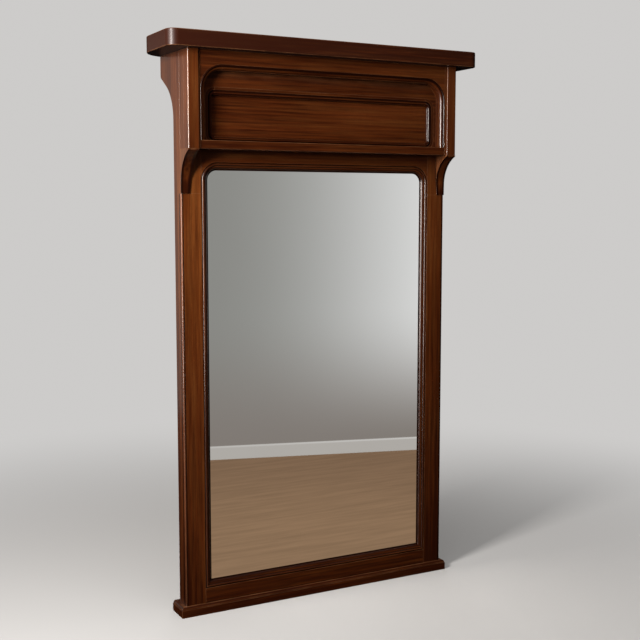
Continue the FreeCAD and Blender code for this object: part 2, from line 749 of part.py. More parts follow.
def keyhole(centre, y_depth, margin=0):
    """Keyhole-shaped tool: a round entry with a slot that rises from it."""
    entry = KEYHOLE_ENTRY_RADIUS + margin
    slot = (entry if margin else KEYHOLE_SLOT_RADIUS)
    low = centre - Z_AXIS * (KEYHOLE_SLOT_RISE / 2)
    high = centre + Z_AXIS * (KEYHOLE_SLOT_RISE / 2)
    round_entry = Part.makeCylinder(entry, y_depth, low, Y_AXIS * -1)
    round_end = Part.makeCylinder(slot, y_depth, high, Y_AXIS * -1)
    way = block(low.x - slot, low.x + slot, low.y - y_depth, low.y, low.z, high.z)
    return round_entry.fuse([round_end, way]).removeSplitter()


def plate_outline(centre, depth):
    """Room for a keyhole plate, let in flush with the rail's rear face."""
    radius = KEYHOLE_PLATE_WIDTH / 2
    rise = Z_AXIS * (KEYHOLE_PLATE_HEIGHT / 2 - radius)
    ends = [Part.makeCylinder(radius, depth, centre + way, Y_AXIS * -1) for way in (rise, rise * -1)]
    middle = block(centre.x - radius, centre.x + radius, centre.y - depth, centre.y,
                   centre.z - rise.z, centre.z + rise.z)
    return middle.fuse(ends).removeSplitter()


def hanging_rail():
    tools = [plate_outline(centre, KEYHOLE_PLATE_THICKNESS) for centre in keyhole_centres()]
    tools += [keyhole(centre, HANGING_RAIL_THICKNESS, KEYHOLE_POCKET_MARGIN) for centre in keyhole_centres()]
    return cut_all(hanging_rail_block(), tools + holes(plate_screws()))


def keyhole_plates():
    plates = []
    for centre in keyhole_centres():
        shape = plate_outline(centre, KEYHOLE_PLATE_THICKNESS).cut(keyhole(centre, KEYHOLE_PLATE_THICKNESS))
        plates.append(cut_all(shape, holes(plate_screws())))
    return plates


def back_panel():
    half = cheek_half - BACK_PANEL_GAP
    y_rear = y_back + BACK_PANEL_THICKNESS
    shape = block(-half, half, y_back, y_rear, z_panel_bottom, z_panel_top)
    return cut_all(shape, holes(panel_screws()))


def glue_blocks():
    """Three-cornered blocks glued into the corners under the cornice."""
    blocks = []
    for corner, across, along in block_places():
        points = [corner, corner + across * BLOCK_SIZE, corner - Z_AXIS * BLOCK_SIZE, corner]
        shape = solid_from(Part.makePolygon(points), along * BLOCK_LENGTH)
        blocks.append(cut_all(shape, holes(block_screws())))
    return blocks


def cornice():
    """Thick top board: small round corners at the front, large ones at the rear."""
    corners = [vec(-cornice_half, y_cornice, z_cornice), vec(cornice_half, y_cornice, z_cornice),
               vec(cornice_half, -y_cornice, z_cornice), vec(-cornice_half, -y_cornice, z_cornice)]
    radii = [CORNICE_FRONT_RADIUS, CORNICE_FRONT_RADIUS, CORNICE_REAR_RADIUS, CORNICE_REAR_RADIUS]
    shape = solid_from(rounded_wire(corners, radii), Z_AXIS * CORNICE_THICKNESS)
    rims = [edge for edge in shape.Edges if edge.BoundBox.ZLength < CORNICE_EDGE_RADIUS]
    shape = shape.makeFillet(CORNICE_EDGE_RADIUS, rims)
    return cut_all(shape, holes(block_screws()))


def pieces():
    """Every sub-part by its node's name, as a list of its solids."""
    made = {
        "plinth": [plinth()],
        "bottom_rail": [bottom_rail()],
        "mid_rail": [mid_rail()],
        "top_rail": [top_rail()],
        "sight_moulding_bottom": [sight_bottom()],
        "sight_moulding_top": [sight_top()],
        "mirror_glass": [plate(y_glass, GLASS_THICKNESS)],
        "backing_board": [plate(y_backing, BACKING_THICKNESS)],
        "retainer_bottom": [retainer_bottom()],
        "retainer_top": [retainer_top()],
        "retainer_pins": [pin_at(point, direction) for point, direction in pin_places()],
        "frieze_top_rail": [frieze_top_rail()],
        "frieze_bottom_rail": [frieze_bottom_rail()],
        "opening_bead_top": [opening_bead_top()],
        "frieze_field": [frieze_field()],
        "frieze_panel": [frieze_panel()],
        "sunk_bead_top": [sunk_bead_rail(z_sunk_top, Z_AXIS * -1)],
        "sunk_bead_bottom": [sunk_bead_rail(z_sunk_bottom, Z_AXIS)],
        "frieze_soffit": [soffit()],
        "cornice": [cornice()],
        "hanging_rail": [hanging_rail()],
        "keyhole_plates": keyhole_plates(),
        "frieze_back_panel": [back_panel()],
        "cornice_glue_blocks": glue_blocks(),
    }
    screws = {
        "plinth_screws": plinth_screws(),
        "cornice_screws": block_screws(),
        "back_panel_screws": panel_screws(),
        "keyhole_plate_screws": plate_screws(),
    }
    for name, places in screws.items():
        made[name] = [wood_screw(point, direction, length) for point, direction, length in places]
    handed = {
        "stile": left_stile(),
        "return_board": left_return(),
        "sight_moulding": sight_side(),
        "sight_corner": sight_corner(),
        "retainer": retainer_side(),
        "frieze_post": left_post(),
        "frieze_side": left_box_side(),
        "frieze_stile": left_frieze_stile(),
        "opening_bead": opening_bead_side(),
        "opening_bead_corner": opening_bead_corner(),
        "sunk_bead_end": sunk_bead_end(),
        "corbel": left_corbel(),
    }
    for name, shape in handed.items():
        made[name + "_left"] = [shape]
        made[name + "_right"] = [mirrored(shape)]
    return made


def main():
    os.makedirs("parts", exist_ok=True)
    for name, solids in sorted(pieces().items()):
        shape = solids[0] if len(solids) == 1 else Part.makeCompound(solids)
        shape.exportStep(os.path.join("parts", name + ".step"))
        print(name, len(shape.Solids), round(shape.Volume), shape.isValid())


main()
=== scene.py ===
"""Trumeau mirror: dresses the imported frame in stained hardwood, silvered glass, zinc and brass.

Every length is in metres. +Z is up, the mirror faces -Y, and X runs to the right as one faces it.
"""
import math
import zlib

import bmesh
import bpy
import numpy as np
from mathutils import Matrix, Vector


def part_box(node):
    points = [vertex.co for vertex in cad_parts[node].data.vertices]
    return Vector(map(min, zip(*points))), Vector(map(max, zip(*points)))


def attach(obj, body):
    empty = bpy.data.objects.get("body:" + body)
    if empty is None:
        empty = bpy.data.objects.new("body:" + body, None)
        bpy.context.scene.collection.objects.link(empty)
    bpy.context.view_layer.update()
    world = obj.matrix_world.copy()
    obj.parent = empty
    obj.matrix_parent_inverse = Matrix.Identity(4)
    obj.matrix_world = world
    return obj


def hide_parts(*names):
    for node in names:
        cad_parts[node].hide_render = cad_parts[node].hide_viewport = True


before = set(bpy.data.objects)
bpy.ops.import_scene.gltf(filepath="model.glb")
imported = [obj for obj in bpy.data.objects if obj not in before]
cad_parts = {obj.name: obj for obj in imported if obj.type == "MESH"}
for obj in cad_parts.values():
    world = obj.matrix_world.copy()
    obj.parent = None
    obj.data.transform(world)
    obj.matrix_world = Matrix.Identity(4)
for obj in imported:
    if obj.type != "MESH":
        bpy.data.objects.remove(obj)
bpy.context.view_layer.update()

bl_info = {
    "name": "Trumeau mirror",
    "version": (1, 0, 0),
    "blender": (4, 5, 0),
    "location": "3D View > Sidebar > Trumeau",
    "description": "Builds and finishes a trumeau mirror round its packed frame",
    "category": "Object",
}

BODY = "root"
STAINED = "stained_hardwood"
BARE = "bare_hardwood"

X_AXIS, Y_AXIS, Z_AXIS = np.eye(3)
QUARTER = math.pi / 2
SIDES = (-1, 1)
GRAIN_ORDERS = {"x": (0, 1, 2), "y": (1, 0, 2), "z": (2, 0, 1)}

# Faces that meet at more than the sharp angle look crisp. An edge of the worn angle is worn in full.
SHARP_ANGLE = math.radians(38.0)
WORN_ANGLE = 0.6
# A node's triangles within the flat angle become one face, and its short edges stay square.
FLAT_ANGLE = math.radians(0.4)
SHORT_EDGE = 0.004
# Points of a new mesh that are nearer than this become one, and a tiny length counts as nothing.
WELD = 1e-7
TINY = 1e-6
TURN_STEPS = 20

# How much lighter than the middle stain a board is, at even places from its one end to the other. The rows
# hold each board's own tone and also painted light and shade: darker towards the floor, at the left stile's
# head below the frieze box, at the field's ends and at the sunk ring's left end. A board takes the first
# row that its name begins with.
BOARD_TONE_AND_SHADE = {
    "stile_left": (-0.22, -0.14, -0.06, 0.04, 0.12, 0.24, 0.18, -0.08, -0.12),
    "stile_right": (-0.38, 0.14, 0.30, 0.12, 0.15),
    "mid_rail": (-0.04, -0.13, -0.10, -0.06),
    "bottom_rail": (-0.22, -0.22),
    "plinth": (-0.32, -0.28),
    "sight_bead_bottom": (-0.20, -0.20),
    "sight_bead": (-0.20, 0.0),
    "return_board": (-0.25, -0.22, -0.12, -0.06),
    "corbel_left": (-0.85, -0.70, -0.28, -0.28, -0.32, -0.32, -0.28),
    "corbel_right": (-0.40, 0.0, 0.0, -0.20, -0.08, -0.06, -0.10),
    "cornice": (-0.50, -0.26, -0.20),
    "frieze_post_left": (-0.02, 0.02),
    "frieze_post_right": (0.02, 0.06),
    "frieze_side": (0.04, -0.02),
    "frieze_bottom": (-0.42, -0.24),
    "frieze_top": (-0.32, -0.04),
    "frieze_field": (-0.36, -0.02, 0.0, -0.35),
    "frieze_panel": (-0.22, -0.02),
    "frieze_soffit": (-0.25, -0.25),
    "opening_moulding": (-0.20, -0.20),
    "sunk_ring_end_left": (-0.60, -0.60),
    "sunk_ring": (-0.32, -0.26),
}
# How far handling and dust have taken the polish off a board.
BOARD_DULLNESS = {"cornice": 0.8}


# What a user would change

def length(name, description, default):
    return bpy.props.FloatProperty(name=name, description=description, default=default, min=0.0,
                                   unit="LENGTH", precision=4)


def angle(name, description, degrees):
    return bpy.props.FloatProperty(name=name, description=description, default=math.radians(degrees),
                                   subtype="ANGLE")


def share(name, description, default):
    return bpy.props.FloatProperty(name=name, description=description, default=default, min=0.0, max=1.0,
                                   subtype="FACTOR")


def strength(name, description, default):
    return bpy.props.FloatProperty(name=name, description=description, default=default, min=0.0)


def colour(name, description, default):
    return bpy.props.FloatVectorProperty(name=name, description=description, default=default, size=3,
                                         min=0.0, max=1.0, subtype="COLOR")


def place(name, description, default):
    return bpy.props.FloatVectorProperty(name=name, description=description, default=default, size=3,
                                         subtype="TRANSLATION", unit="LENGTH")


class EdgeSizes(bpy.types.PropertyGroup):
    """How far the plain edges of the boards are turned over"""
    board: length("Board edges", "Radius on the edges of plain boards and rails", 0.0008)
    joint: length("Joint edges", "Radius where two pieces meet flush", 0.0005)
    crisp: length("Moulded edges", "Radius on the sharp edges of mouldings", 0.00025)
    strip: length("Strip edges", "Radius on the strips and blocks at the back", 0.0006)


class FrameSizes(bpy.types.PropertyGroup):
    """Moulded corner of the stiles and rounded ends of the rails"""
    arris: length("Arris", "Radius of the stiles' rounded front corner", 0.005)
    quirk_width: length("Quirk width", "Width of the fine groove beside the arris", 0.0014)
    quirk_depth: length("Quirk depth", "Depth of the fine groove beside the arris", 0.0012)
    groove_setback: length("Groove setback", "Distance of the side groove from the front", 0.011)
    groove_width: length("Groove width", "Width of the side groove", 0.0018)
    groove_depth: length("Groove depth", "Depth of the side groove", 0.0025)
    # Width of the line of painted shade along quirk, side groove and the plinth's corner.
    shade_line: length("Stain line", "Width of the darker line along quirk and side groove", 0.0018)
    spandrel_tip: length("Spandrel tip", "Thickness left at the tip of a rail's rounded end", 0.0008)


def moulding_sizes(at, **defaults):
    """Sizes and stain of a beaded moulding as a PropertyGroup takes them. at names what it ends beside."""
    sizes = (
        ("fillet", "Fillet", "Flat border before the quirk"),
        ("quirk", "Quirk", "Groove before the bead"),
        ("bead", "Bead", "Radius of the bead"),
        ("proud", "Proud", "How far the bead stands in front of the face"),
        ("step", "Step", "Flat between the bead and the ovolo"),
        ("drop", "Drop", "How far the flat lies behind the bead's foot"),
        ("ovolo", "Ovolo", "Radius of the quarter round beside " + at),
    )
    # These shares paint shade in quirk, flat and quarter round, a highlight on the bead's crown, and light
    # under a top length.
    stains = (
        ("settled", "Settled stain", "How dark the quarter round is beside " + at),
        ("gathered", "Gathered stain", "How dark the quarter round is at its outer edge"),
        ("rubbed", "Rubbed crown", "How far the stain is thinned along the bead"),
        ("thinned", "Thinned stain", "How far the stain is thinned under a top length"),
    )
    made = {key: length(name, about, defaults[key]) for key, name, about in sizes}
    for key, name, about in stains:
        if key in defaults:
            made[key] = share(name, about, defaults[key])
    return made


class SightMoulding(bpy.types.PropertyGroup):
    """Beaded moulding round the glass"""
    __annotations__ = moulding_sizes(
        "the glass", fillet=0.0, quirk=0.0025, bead=0.00375, proud=0.0015, step=0.003, drop=0.0015,
        ovolo=0.0085, settled=1.0, gathered=0.0, rubbed=0.9)


class OpeningMoulding(bpy.types.PropertyGroup):
    """Beaded moulding inside the frieze opening"""
    __annotations__ = moulding_sizes(
        "the field", fillet=0.0, quirk=0.0008, bead=0.0022, proud=0.001, step=0.0016, drop=0.0012,
        ovolo=0.0085, settled=0.0, gathered=1.0, rubbed=0.1, thinned=0.15)


class SunkMoulding(bpy.types.PropertyGroup):
    """Beaded ring round the sunk panel"""
    __annotations__ = moulding_sizes(
        "the panel", fillet=0.009, quirk=0.005, bead=0.00375, proud=0.001, step=0.0015, drop=0.001,
        ovolo=0.0015, settled=0.2, gathered=0.3, rubbed=0.4)


class FriezeSizes(bpy.types.PropertyGroup):
    """Frieze box, corbels and cornice"""
    post_outer: length("Post outer edge", "Radius of the posts' outer front corner", 0.005)
    post_inner: length("Post inner edge", "Radius of the posts' inner front corner", 0.002)
    rail_edge: length("Rail edge", "Radius on the front edges of the frieze bottom rail", 0.002)
    lip: length("Corbel lip", "Height of the flat at the top of a corbel", 0.005)
    toe: length("Corbel toe", "Thickness of a corbel where its curve ends", 0.005)
    toe_end: length("Corbel tip", "Thickness of a corbel at its lowest point", 0.0025)
    slope: angle("Corbel slope", "Slope of the curve under the lip", 24.0)
    curve: share("Corbel curve", "Share of the slope that the curve takes up", 0.97)
    foot: length("Corbel foot", "Width of a corbel at its lowest point", 0.031)
    taper: length("Corbel taper", "Height over which a corbel narrows to its foot", 0.072)
    corbel_edge: length("Corbel edge", "Radius on the long edges of a corbel's curve", 0.0004)
    # Painted shade along a corbel's long edges.
    border_shade: length("Corbel border", "Width of the darker stain along a corbel's long edges", 0.006)
    border_shade_end: length("Corbel border end", "Distance from a corbel's edge where that stain ends", 0.011)
    # Painted light on a corbel's side faces.
    corbel_side: share("Corbel side", "How far the stain is thinned on a corbel's side faces", 0.45)
    # Painted light along the field's upper edge.
    field_edge_light: share("Field edge", "How far the stain is thinned along the field's upper edge", 0.8)
    cornice_front: length("Cornice front corner", "Radius of the cornice's front corners in plan", 0.033)
    cornice_rear: length("Cornice rear corner", "Radius of the cornice's rear corners in plan", 0.1)
    cornice_edge: length("Cornice edge", "Radius on the cornice's upper and lower edges", 0.003)
    nose: length("Plinth nose", "Radius of the nose along the plinth", 0.007)
    nose_step: length("Plinth step", "How far the nose sits back from the plinth's face", 0.002)
    # Painted highlight lines round the plinth's nose.
    nose_highlight_lines: share("Plinth nose wear", "How much the stain varies round the plinth's nose", 0.6)


class Finishes(bpy.types.PropertyGroup):
    """Colours and sheen of the finishes"""
    stain_dark: colour("Stain, dark", "Stained hardwood in its darkest streaks", (0.024, 0.004, 0.0007))
    stain_mid: colour("Stain, middle", "Stained hardwood over most of a board", (0.076, 0.0165, 0.0026))
    stain_light: colour("Stain, light", "Stained hardwood in its lightest streaks", (0.175, 0.05, 0.0095))
    # Rubbed: edge wear, and painted highlights on bead crowns, the plinth's nose and lit faces.
    rubbed: colour("Rubbed edge", "Wood where handling has thinned the stain", (0.21, 0.088, 0.036))
    bare: colour("Bare wood", "Unstained hardwood of the glue blocks", (0.33, 0.195, 0.098))
    bare_dark: colour("Bare wood, grain", "Grain lines of the unstained hardwood", (0.19, 0.098, 0.043))
    board: colour("Backing board", "Fibre backing board", (0.23, 0.145, 0.076))
    silver: colour("Silver", "Silvering behind the glass", (0.93, 0.935, 0.925))
    zinc: colour("Zinc", "Zinc plated steel of pins and screws", (0.56, 0.57, 0.58))
    brass: colour("Brass", "Keyhole plates and their screws", (0.62, 0.43, 0.17))
    sheen: share("Satin", "Roughness of the lacquer", 0.32)
    # Glaze: the colour of painted shade in quirks, recesses and inner corners.
    glaze_and_shade: colour("Glaze", "Stain that has gathered in quirks and inner corners", (0.0085, 0.0015, 0.0004))
    # Settled: reach of the painted shade in inner corners.
    settled: length("Settled stain", "How far from an inner corner the stain lies darker", 0.006)
    # Worn edge: reach of the rubbed colour from outer edges, as edge wear and painted highlight.
    edge_wear_and_highlight: length("Worn edge", "How far from an outer edge the stain is thinned", 0.0025)


class Studio(bpy.types.PropertyGroup):
    """Camera, lamps and what the glass reflects"""
    eye: place("Camera", "Where the camera stands", (-1.7477, -3.2931, 1.3578))
    pitch: angle("Camera pitch", "How far the camera looks down", 6.016)
    heading: angle("Camera heading", "How far the camera looks to the right of straight ahead", 28.20)
    lens: bpy.props.FloatProperty(name="Lens", description="Focal length on a 36 mm sensor", default=60.46,
                                  unit="CAMERA")
    ground: colour("Ground", "Backdrop, and the floor where it has faded out", (0.61, 0.60, 0.59))
    floor_share: share("Floor", "Share of the ground's colour that the lit floor has", 0.78)
    floor_reach: length("Floor reach", "Half the width of the floor", 14.0)
    fade_from: length("Fade from", "Distance from the middle where the floor begins to fade", 0.7)
    fade_to: length("Fade to", "Distance from the middle where it has become the backdrop", 3.2)
    ambient: strength("Ambient", "Strength of the light from all round", 0.22)
    shine: strength("Shine", "Strength of the surroundings that polished faces reflect", 0.04)
    key: strength("Key lamp", "Power of the soft lamp on the left, in watts", 150.0)
    fill: strength("Fill lamp", "Power of the soft lamp on the right, in watts", 9.0)
    top: strength("Top lamp", "Power of the soft lamp overhead, in watts", 30.0)
    back: strength("Back lamp", "Power of the soft lamp behind the mirror, in watts", 35.0)
    gleam: strength("Gleam lamp", "Power of the upright strip that only polish reflects, in watts", 200.0)
    side_gleam: strength("Side gleam", "Power of the soft glow along the left side, in watts", 7.0)
    bounce: colour("Bounce", "Floor as it lights the underside of the object", (0.12, 0.085, 0.06))
    wall_near: colour("Reflected wall, left", "Wall in the glass at its darker end", (0.268, 0.267, 0.252))
    wall_far: colour("Reflected wall, right", "Wall in the glass at its brighter end", (0.79, 0.79, 0.79))
    wall_foot: colour("Reflected wall, foot", "Wall in the glass over the skirting", (0.23, 0.205, 0.187))
    wall_start: place("Reflected wall, start", "A point on the wall's foot", (0.445, -2.032, 0.0))
    wall_end: place("Reflected wall, end", "A point on the wall's foot further right", (1.508, -1.734, 0.0))
    skirting: colour("Reflected skirting", "Board at the foot of the reflected wall", (0.45, 0.425, 0.40))
    skirting_top: length("Skirting top", "Height of the reflected skirting", 0.072)
    reflected_floor: colour("Reflected floor", "Floor seen in the glass", (0.214, 0.132, 0.079))


GROUPS = {
    "trumeau_edges": EdgeSizes,
    "trumeau_frame": FrameSizes,
    "trumeau_sight": SightMoulding,
    "trumeau_opening": OpeningMoulding,
    "trumeau_sunk": SunkMoulding,
    "trumeau_frieze": FriezeSizes,
    "trumeau_finishes": Finishes,
    "trumeau_studio": Studio,
}


def setting(name):
    """One of the property groups above, as the scene holds it."""
    return getattr(bpy.context.scene, "trumeau_" + name)


# Shader maths

def both_ways(operation):
    """Arithmetic method of a Value, and its reflected form with the two values exchanged."""
    def plain(self, other):
        return self.maths(operation, self, other)

    def reflected(self, other):
        return self.maths(operation, other, self)

    return plain, reflected


class Value:
    """A node's output. Plain arithmetic on it adds Math nodes."""
    __add__, __radd__ = both_ways("ADD")
    __sub__, __rsub__ = both_ways("SUBTRACT")
    __mul__, __rmul__ = both_ways("MULTIPLY")
    __pow__, __rpow__ = both_ways("POWER")

    def __init__(self, finish, socket):
        self.finish = finish
        self.socket = socket

    def maths(self, operation, *values):
        return self.finish.node("ShaderNodeMath", {"operation": operation}, dict(enumerate(values)))

    def sine(self):
        return self.maths("SINE", self)

    def above(self, low, high):
        """0 below low, 1 above high, and a smooth rise between them."""
        settings = {"interpolation_type": "SMOOTHSTEP"}
        values = {"Value": self, "From Min": low, "From Max": high}
        return self.finish.node("ShaderNodeMapRange", settings, values)


class Finish:
    """A material, or another node tree, while its nodes are laid out."""

    def __init__(self, name, tree=None):
        if tree is None:
            self.material = bpy.data.materials.new(name)
            self.material.use_nodes = True
            tree = self.material.node_tree
        self.tree = tree
        self.tree.nodes.clear()

    def node(self, kind, settings=None, values=None, output=0):
        """Adds a node with its settings, then the numbers or links of its sockets. Gives one output."""
        made = self.tree.nodes.new(kind)
        for key, value in (settings or {}).items():
            setattr(made, key, value)
        for key, value in (values or {}).items():
            socket = made.inputs[key]
            if isinstance(value, Value):
                self.tree.links.new(value.socket, socket)
            elif socket.type == "RGBA":
                socket.default_value = (*value, 1.0)
            else:
                socket.default_value = value
        return Value(self, made.outputs[output]) if len(made.outputs) else None

    def attribute(self, name, output="Fac"):
        return self.node("ShaderNodeAttribute", {"attribute_name": name}, output=output)

    def spot(self):
        """Where a point lies on its object."""
        return self.node("ShaderNodeTexCoord", output="Object")

    def length_of(self, vector):
        return self.node("ShaderNodeVectorMath", {"operation": "LENGTH"}, {0: vector}, output="Value")

    def stretch(self, vector, factors):
        """The vector with each of its three parts multiplied by its own factor."""
        return self.node("ShaderNodeVectorMath", {"operation": "MULTIPLY"}, {0: vector, 1: factors})

    def noise(self, vector, factors, detail=2.0, roughness=0.5, distortion=0.0):
        values = {"Vector": self.stretch(vector, factors), "Scale": 1.0, "Detail": detail,
                  "Roughness": roughness, "Distortion": distortion}
        return self.node("ShaderNodeTexNoise", {}, values)

    def mix(self, factor, first, second, blend="MIX"):
        """Colour mix of two colours by a factor."""
        settings = {"data_type": "RGBA", "blend_type": blend}
        return self.node("ShaderNodeMix", settings, {0: factor, 6: first, 7: second}, output=2)

    def openness(self, reach, **settings):
        """How open the space round a point is within a reach, from 0 to 1."""
        settings["samples"] = 8
        return self.node("ShaderNodeAmbientOcclusion", settings, {"Distance": reach}, output="AO")

    def bump(self, height, distance):
        """Normal of a surface whose height from 0 to 1 stands for a distance."""
        return self.node("ShaderNodeBump", {}, {"Height": height, "Distance": distance, "Strength": 1.0})

    def ray(self, kind):
        """1 on rays of a kind, such as Camera or Glossy, and 0 on the others."""
        return self.node("ShaderNodeLightPath", output="Is " + kind + " Ray")

    def matt(self, shade):
        return self.node("ShaderNodeBsdfDiffuse", {}, {"Color": shade})

    def glow(self, shade):
        return self.node("ShaderNodeEmission", {}, {"Color": shade, "Strength": 1.0})

    def blend(self, factor, first, second):
        """Mix of two shaders by a factor."""
        return self.node("ShaderNodeMixShader", {}, {0: factor, 1: first, 2: second})

    def surface(self, values):
        self.output(self.node("ShaderNodeBsdfPrincipled", {}, values))

    def output(self, shader, kind="Material"):
        self.node("ShaderNodeOutput" + kind, {}, {"Surface": shader})


def scaled(shade, factor):
    """A colour made darker or lighter as a whole."""
    return [part * factor for part in shade]


def grain_place(finish):
    """Place in a board, along the grain first and moved on by the board's number, and that number."""
    board = finish.attribute("board")
    shift = finish.node("ShaderNodeCombineXYZ", {}, {0: board * 5.0, 1: board * 1.9, 2: board * 3.1})
    values = {0: finish.attribute("grain", "Vector"), 1: shift}
    return finish.node("ShaderNodeVectorMath", {"operation": "ADD"}, values), board


def make_stained():
    """Dark stained hardwood under satin lacquer: bands, growth rings, streaks and pores along the grain.

    Painted shade darkens to the glaze colour the points that are sheltered, which ambient occlusion finds,
    and those whose wear is below nought. Outer edges and points whose wear is above nought take the rubbed
    colour, which stands for edge wear and painted highlight.
    """
    tones = setting("finishes")
    finish = Finish("stained hardwood, satin")
    grain, board = grain_place(finish)
    wear, dull = finish.attribute("wear"), finish.attribute("dull")
    bands = finish.noise(grain, (0.7, 11.0, 11.0), 2.0, 0.5, 0.4)
    streaks = finish.noise(grain, (4.0, 120.0, 120.0), 3.0, 0.6, 0.2)
    fine = finish.noise(grain, (7.0, 300.0, 300.0), 2.0, 0.6)
    golden = finish.noise(grain, (4.0, 75.0, 75.0), 2.0, 0.5).above(0.40, 0.62)
    pores = finish.noise(grain, (38.0, 1500.0, 1500.0), 1.0).above(0.60, 0.72)
    cloud = finish.noise(grain, (2.4, 4.5, 4.5), 2.0, 0.55)
    from_heart = finish.length_of(finish.stretch(grain, (0.05, 1.0, 1.0)))
    rings = ((from_heart + bands * 0.035) * 520.0).sine()
    # Board tone: the board's own stain together with painted light and shade along it.
    tone_and_shade = board * 0.08 + finish.attribute("tone") - 0.52
    tone = bands * 0.40 + streaks * 0.65 + fine * 0.50 + rings * 0.035 + cloud * 0.34 + tone_and_shade
    deep = finish.mix(tone.above(0.05, 0.52), tones.stain_dark, tones.stain_mid)
    stained = finish.mix(tone.above(0.42, 0.98), deep, tones.stain_light)
    stained = finish.mix(golden, stained, (1.06, 1.24, 1.40), "MULTIPLY")
    pored = finish.mix(pores * 0.55, stained, tones.stain_dark)
    # Painted shade: inner corners and recesses found by ambient occlusion, and points of negative wear,
    # darken to the glaze colour.
    open_air = finish.openness(tones.settled) + wear.above(0.0, 1.0)
    recess_shade = finish.mix(open_air.above(0.05, 0.75), tones.glaze_and_shade, pored)
    glazed_and_shaded = finish.mix((0.0 - wear).above(0.0, 1.0) * 0.9, recess_shade, tones.glaze_and_shade)
    # Outer edges found by occlusion inside the wood, and points of positive wear, take the rubbed colour:
    # edge wear and painted highlight.
    edge = 1.0 - finish.openness(tones.edge_wear_and_highlight, inside=True, only_local=True)
    patchy = finish.noise(grain, (14.0, 60.0, 60.0), 2.0).above(0.35, 0.62)
    worn_and_shading = (wear.above(0.0, 0.8) + edge.above(0.12, 0.5) * (wear + 1.0).above(0.4, 1.0)).above(0.0, 1.0)
    shade = finish.mix(worn_and_shading * (0.15 + patchy * 0.35), glazed_and_shaded, tones.rubbed)
    height = streaks * 0.35 + fine * 0.5 - pores * 0.6
    finish.surface({
        "Base Color": shade,
        "Roughness": tones.sheen + cloud * 0.10 + pores * 0.06 + dull * 0.16 - 0.05,
        "Normal": finish.bump(height, 0.000025),
        "IOR": 1.48,
        "Specular IOR Level": 0.25,
        "Coat Weight": 0.25 - dull * 0.25,
        "Coat Roughness": 0.12,
    })
    return finish.material


def make_bare():
    """Unstained, unlacquered hardwood with plain grain lines."""
    tones = setting("finishes")
    finish = Finish("bare hardwood")
    grain, board = grain_place(finish)
    streaks = finish.noise(grain, (3.0, 140.0, 140.0), 3.0, 0.6)
    bands = finish.noise(grain, (1.5, 30.0, 30.0), 2.0, 0.5, 0.3)
    tone = (streaks * 0.8 + bands * 0.6 + board * 0.15 - 0.25).above(0.15, 0.75)
    finish.surface({
        "Base Color": finish.mix(tone, tones.bare_dark, tones.bare),
        "Roughness": 0.62 + streaks * 0.2,
        "Normal": finish.bump(streaks, 0.0003),
    })
    return finish.material


def make_board():
    """Pressed fibre board: short pale and dark fibres on brown, duller where dust lies."""
    tones = setting("finishes")
    finish = Finish("fibre backing board")
    spot = finish.spot()
    fibres = finish.noise(spot, (420.0, 90.0, 160.0), 3.0, 0.65)
    specks = finish.noise(spot, (900.0, 900.0, 900.0), 1.0).above(0.58, 0.7)
    dust = finish.noise(spot, (3.0, 3.0, 2.0), 3.0, 0.6)
    lit = finish.mix(fibres, scaled(tones.board, 0.55), scaled(tones.board, 1.45))
    dotted = finish.mix(specks * 0.35, lit, scaled(tones.board, 0.3))
    finish.surface({
        "Base Color": finish.mix(dust.above(0.45, 0.75) * 0.25, dotted, (0.34, 0.29, 0.23)),
        "Roughness": 0.72 + dust * 0.2,
        "Normal": finish.bump(fibres, 0.0002),
    })
    return finish.material


def make_silver():
    """Silvered plate glass: a clean mirror with the faintest cast and haze in broad patches."""
    tones = setting("finishes")
    finish = Finish("silvered glass")
    spot = finish.spot()
    haze = finish.noise(spot, (2.0, 2.0, 1.4), 3.0, 0.6)
    finish.surface({
        "Base Color": finish.mix(haze.above(0.4, 0.8) * 0.35, tones.silver, scaled(tones.silver, 0.95)),
        "Metallic": 1.0,
        "Roughness": 0.008 + haze * 0.012,
    })
    return finish.material


def make_zinc():
    """Zinc plated steel: pale bluish grey with cloudy spangle and duller spots."""
    tones = setting("finishes")
    finish = Finish("zinc plated steel")
    spot = finish.spot()
    cloud = finish.noise(spot, (300.0, 300.0, 300.0), 3.0, 0.6)
    spots = finish.noise(spot, (900.0, 900.0, 900.0), 2.0).above(0.6, 0.75)
    lit = finish.mix(cloud, scaled(tones.zinc, 0.75), tones.zinc)
    finish.surface({
        "Base Color": finish.mix(spots * 0.4, lit, scaled(tones.zinc, 0.45)),
        "Metallic": 1.0,
        "Roughness": 0.28 + cloud * 0.2,
        "Normal": finish.bump(cloud, 0.00005),
    })
    return finish.material


def make_brass():
    """Brass that has gone brown in patches and shows fine brushing."""
    tones = setting("finishes")
    finish = Finish("aged brass")
    spot = finish.spot()
    patches = finish.noise(spot, (90.0, 90.0, 90.0), 3.0, 0.65)
    brushed = finish.noise(spot, (900.0, 900.0, 40.0), 2.0)
    finish.surface({
        "Base Color": finish.mix(patches.above(0.42, 0.72) * 0.7, tones.brass, scaled(tones.brass, 0.30)),
        "Metallic": 1.0,
        "Roughness": 0.26 + patches * 0.25,
        "Normal": finish.bump(brushed, 0.00003),
    })
    return finish.material


MAKERS = {
    STAINED: make_stained,
    BARE: make_bare,
    "backing_board": make_board,
    "mirror_silver": make_silver,
    "zinc_steel": make_zinc,
    "brass": make_brass,
}
finished = {}


def finish_for(slot):
    """The material of a slot, made the first time that it is asked for."""
    if slot not in finished:
        finished[slot] = MAKERS[slot]()
    return finished[slot]


# Outlines: flat closed shapes as arrays of points, with each point's wear and painted shading, from
# worn edges and painted highlights (1) to painted shade (-1)

def unit(ways):
    return ways / np.maximum(np.linalg.norm(ways, axis=-1, keepdims=True), 1e-12)


def cross(first, second):
    return first[..., 0] * second[..., 1] - first[..., 1] * second[..., 0]


def handedness(points):
    """1 where the outline runs anticlockwise, -1 where it runs clockwise, from the sign of its area."""
    return math.copysign(1.0, cross(points, np.roll(points, -1, axis=0)).sum())


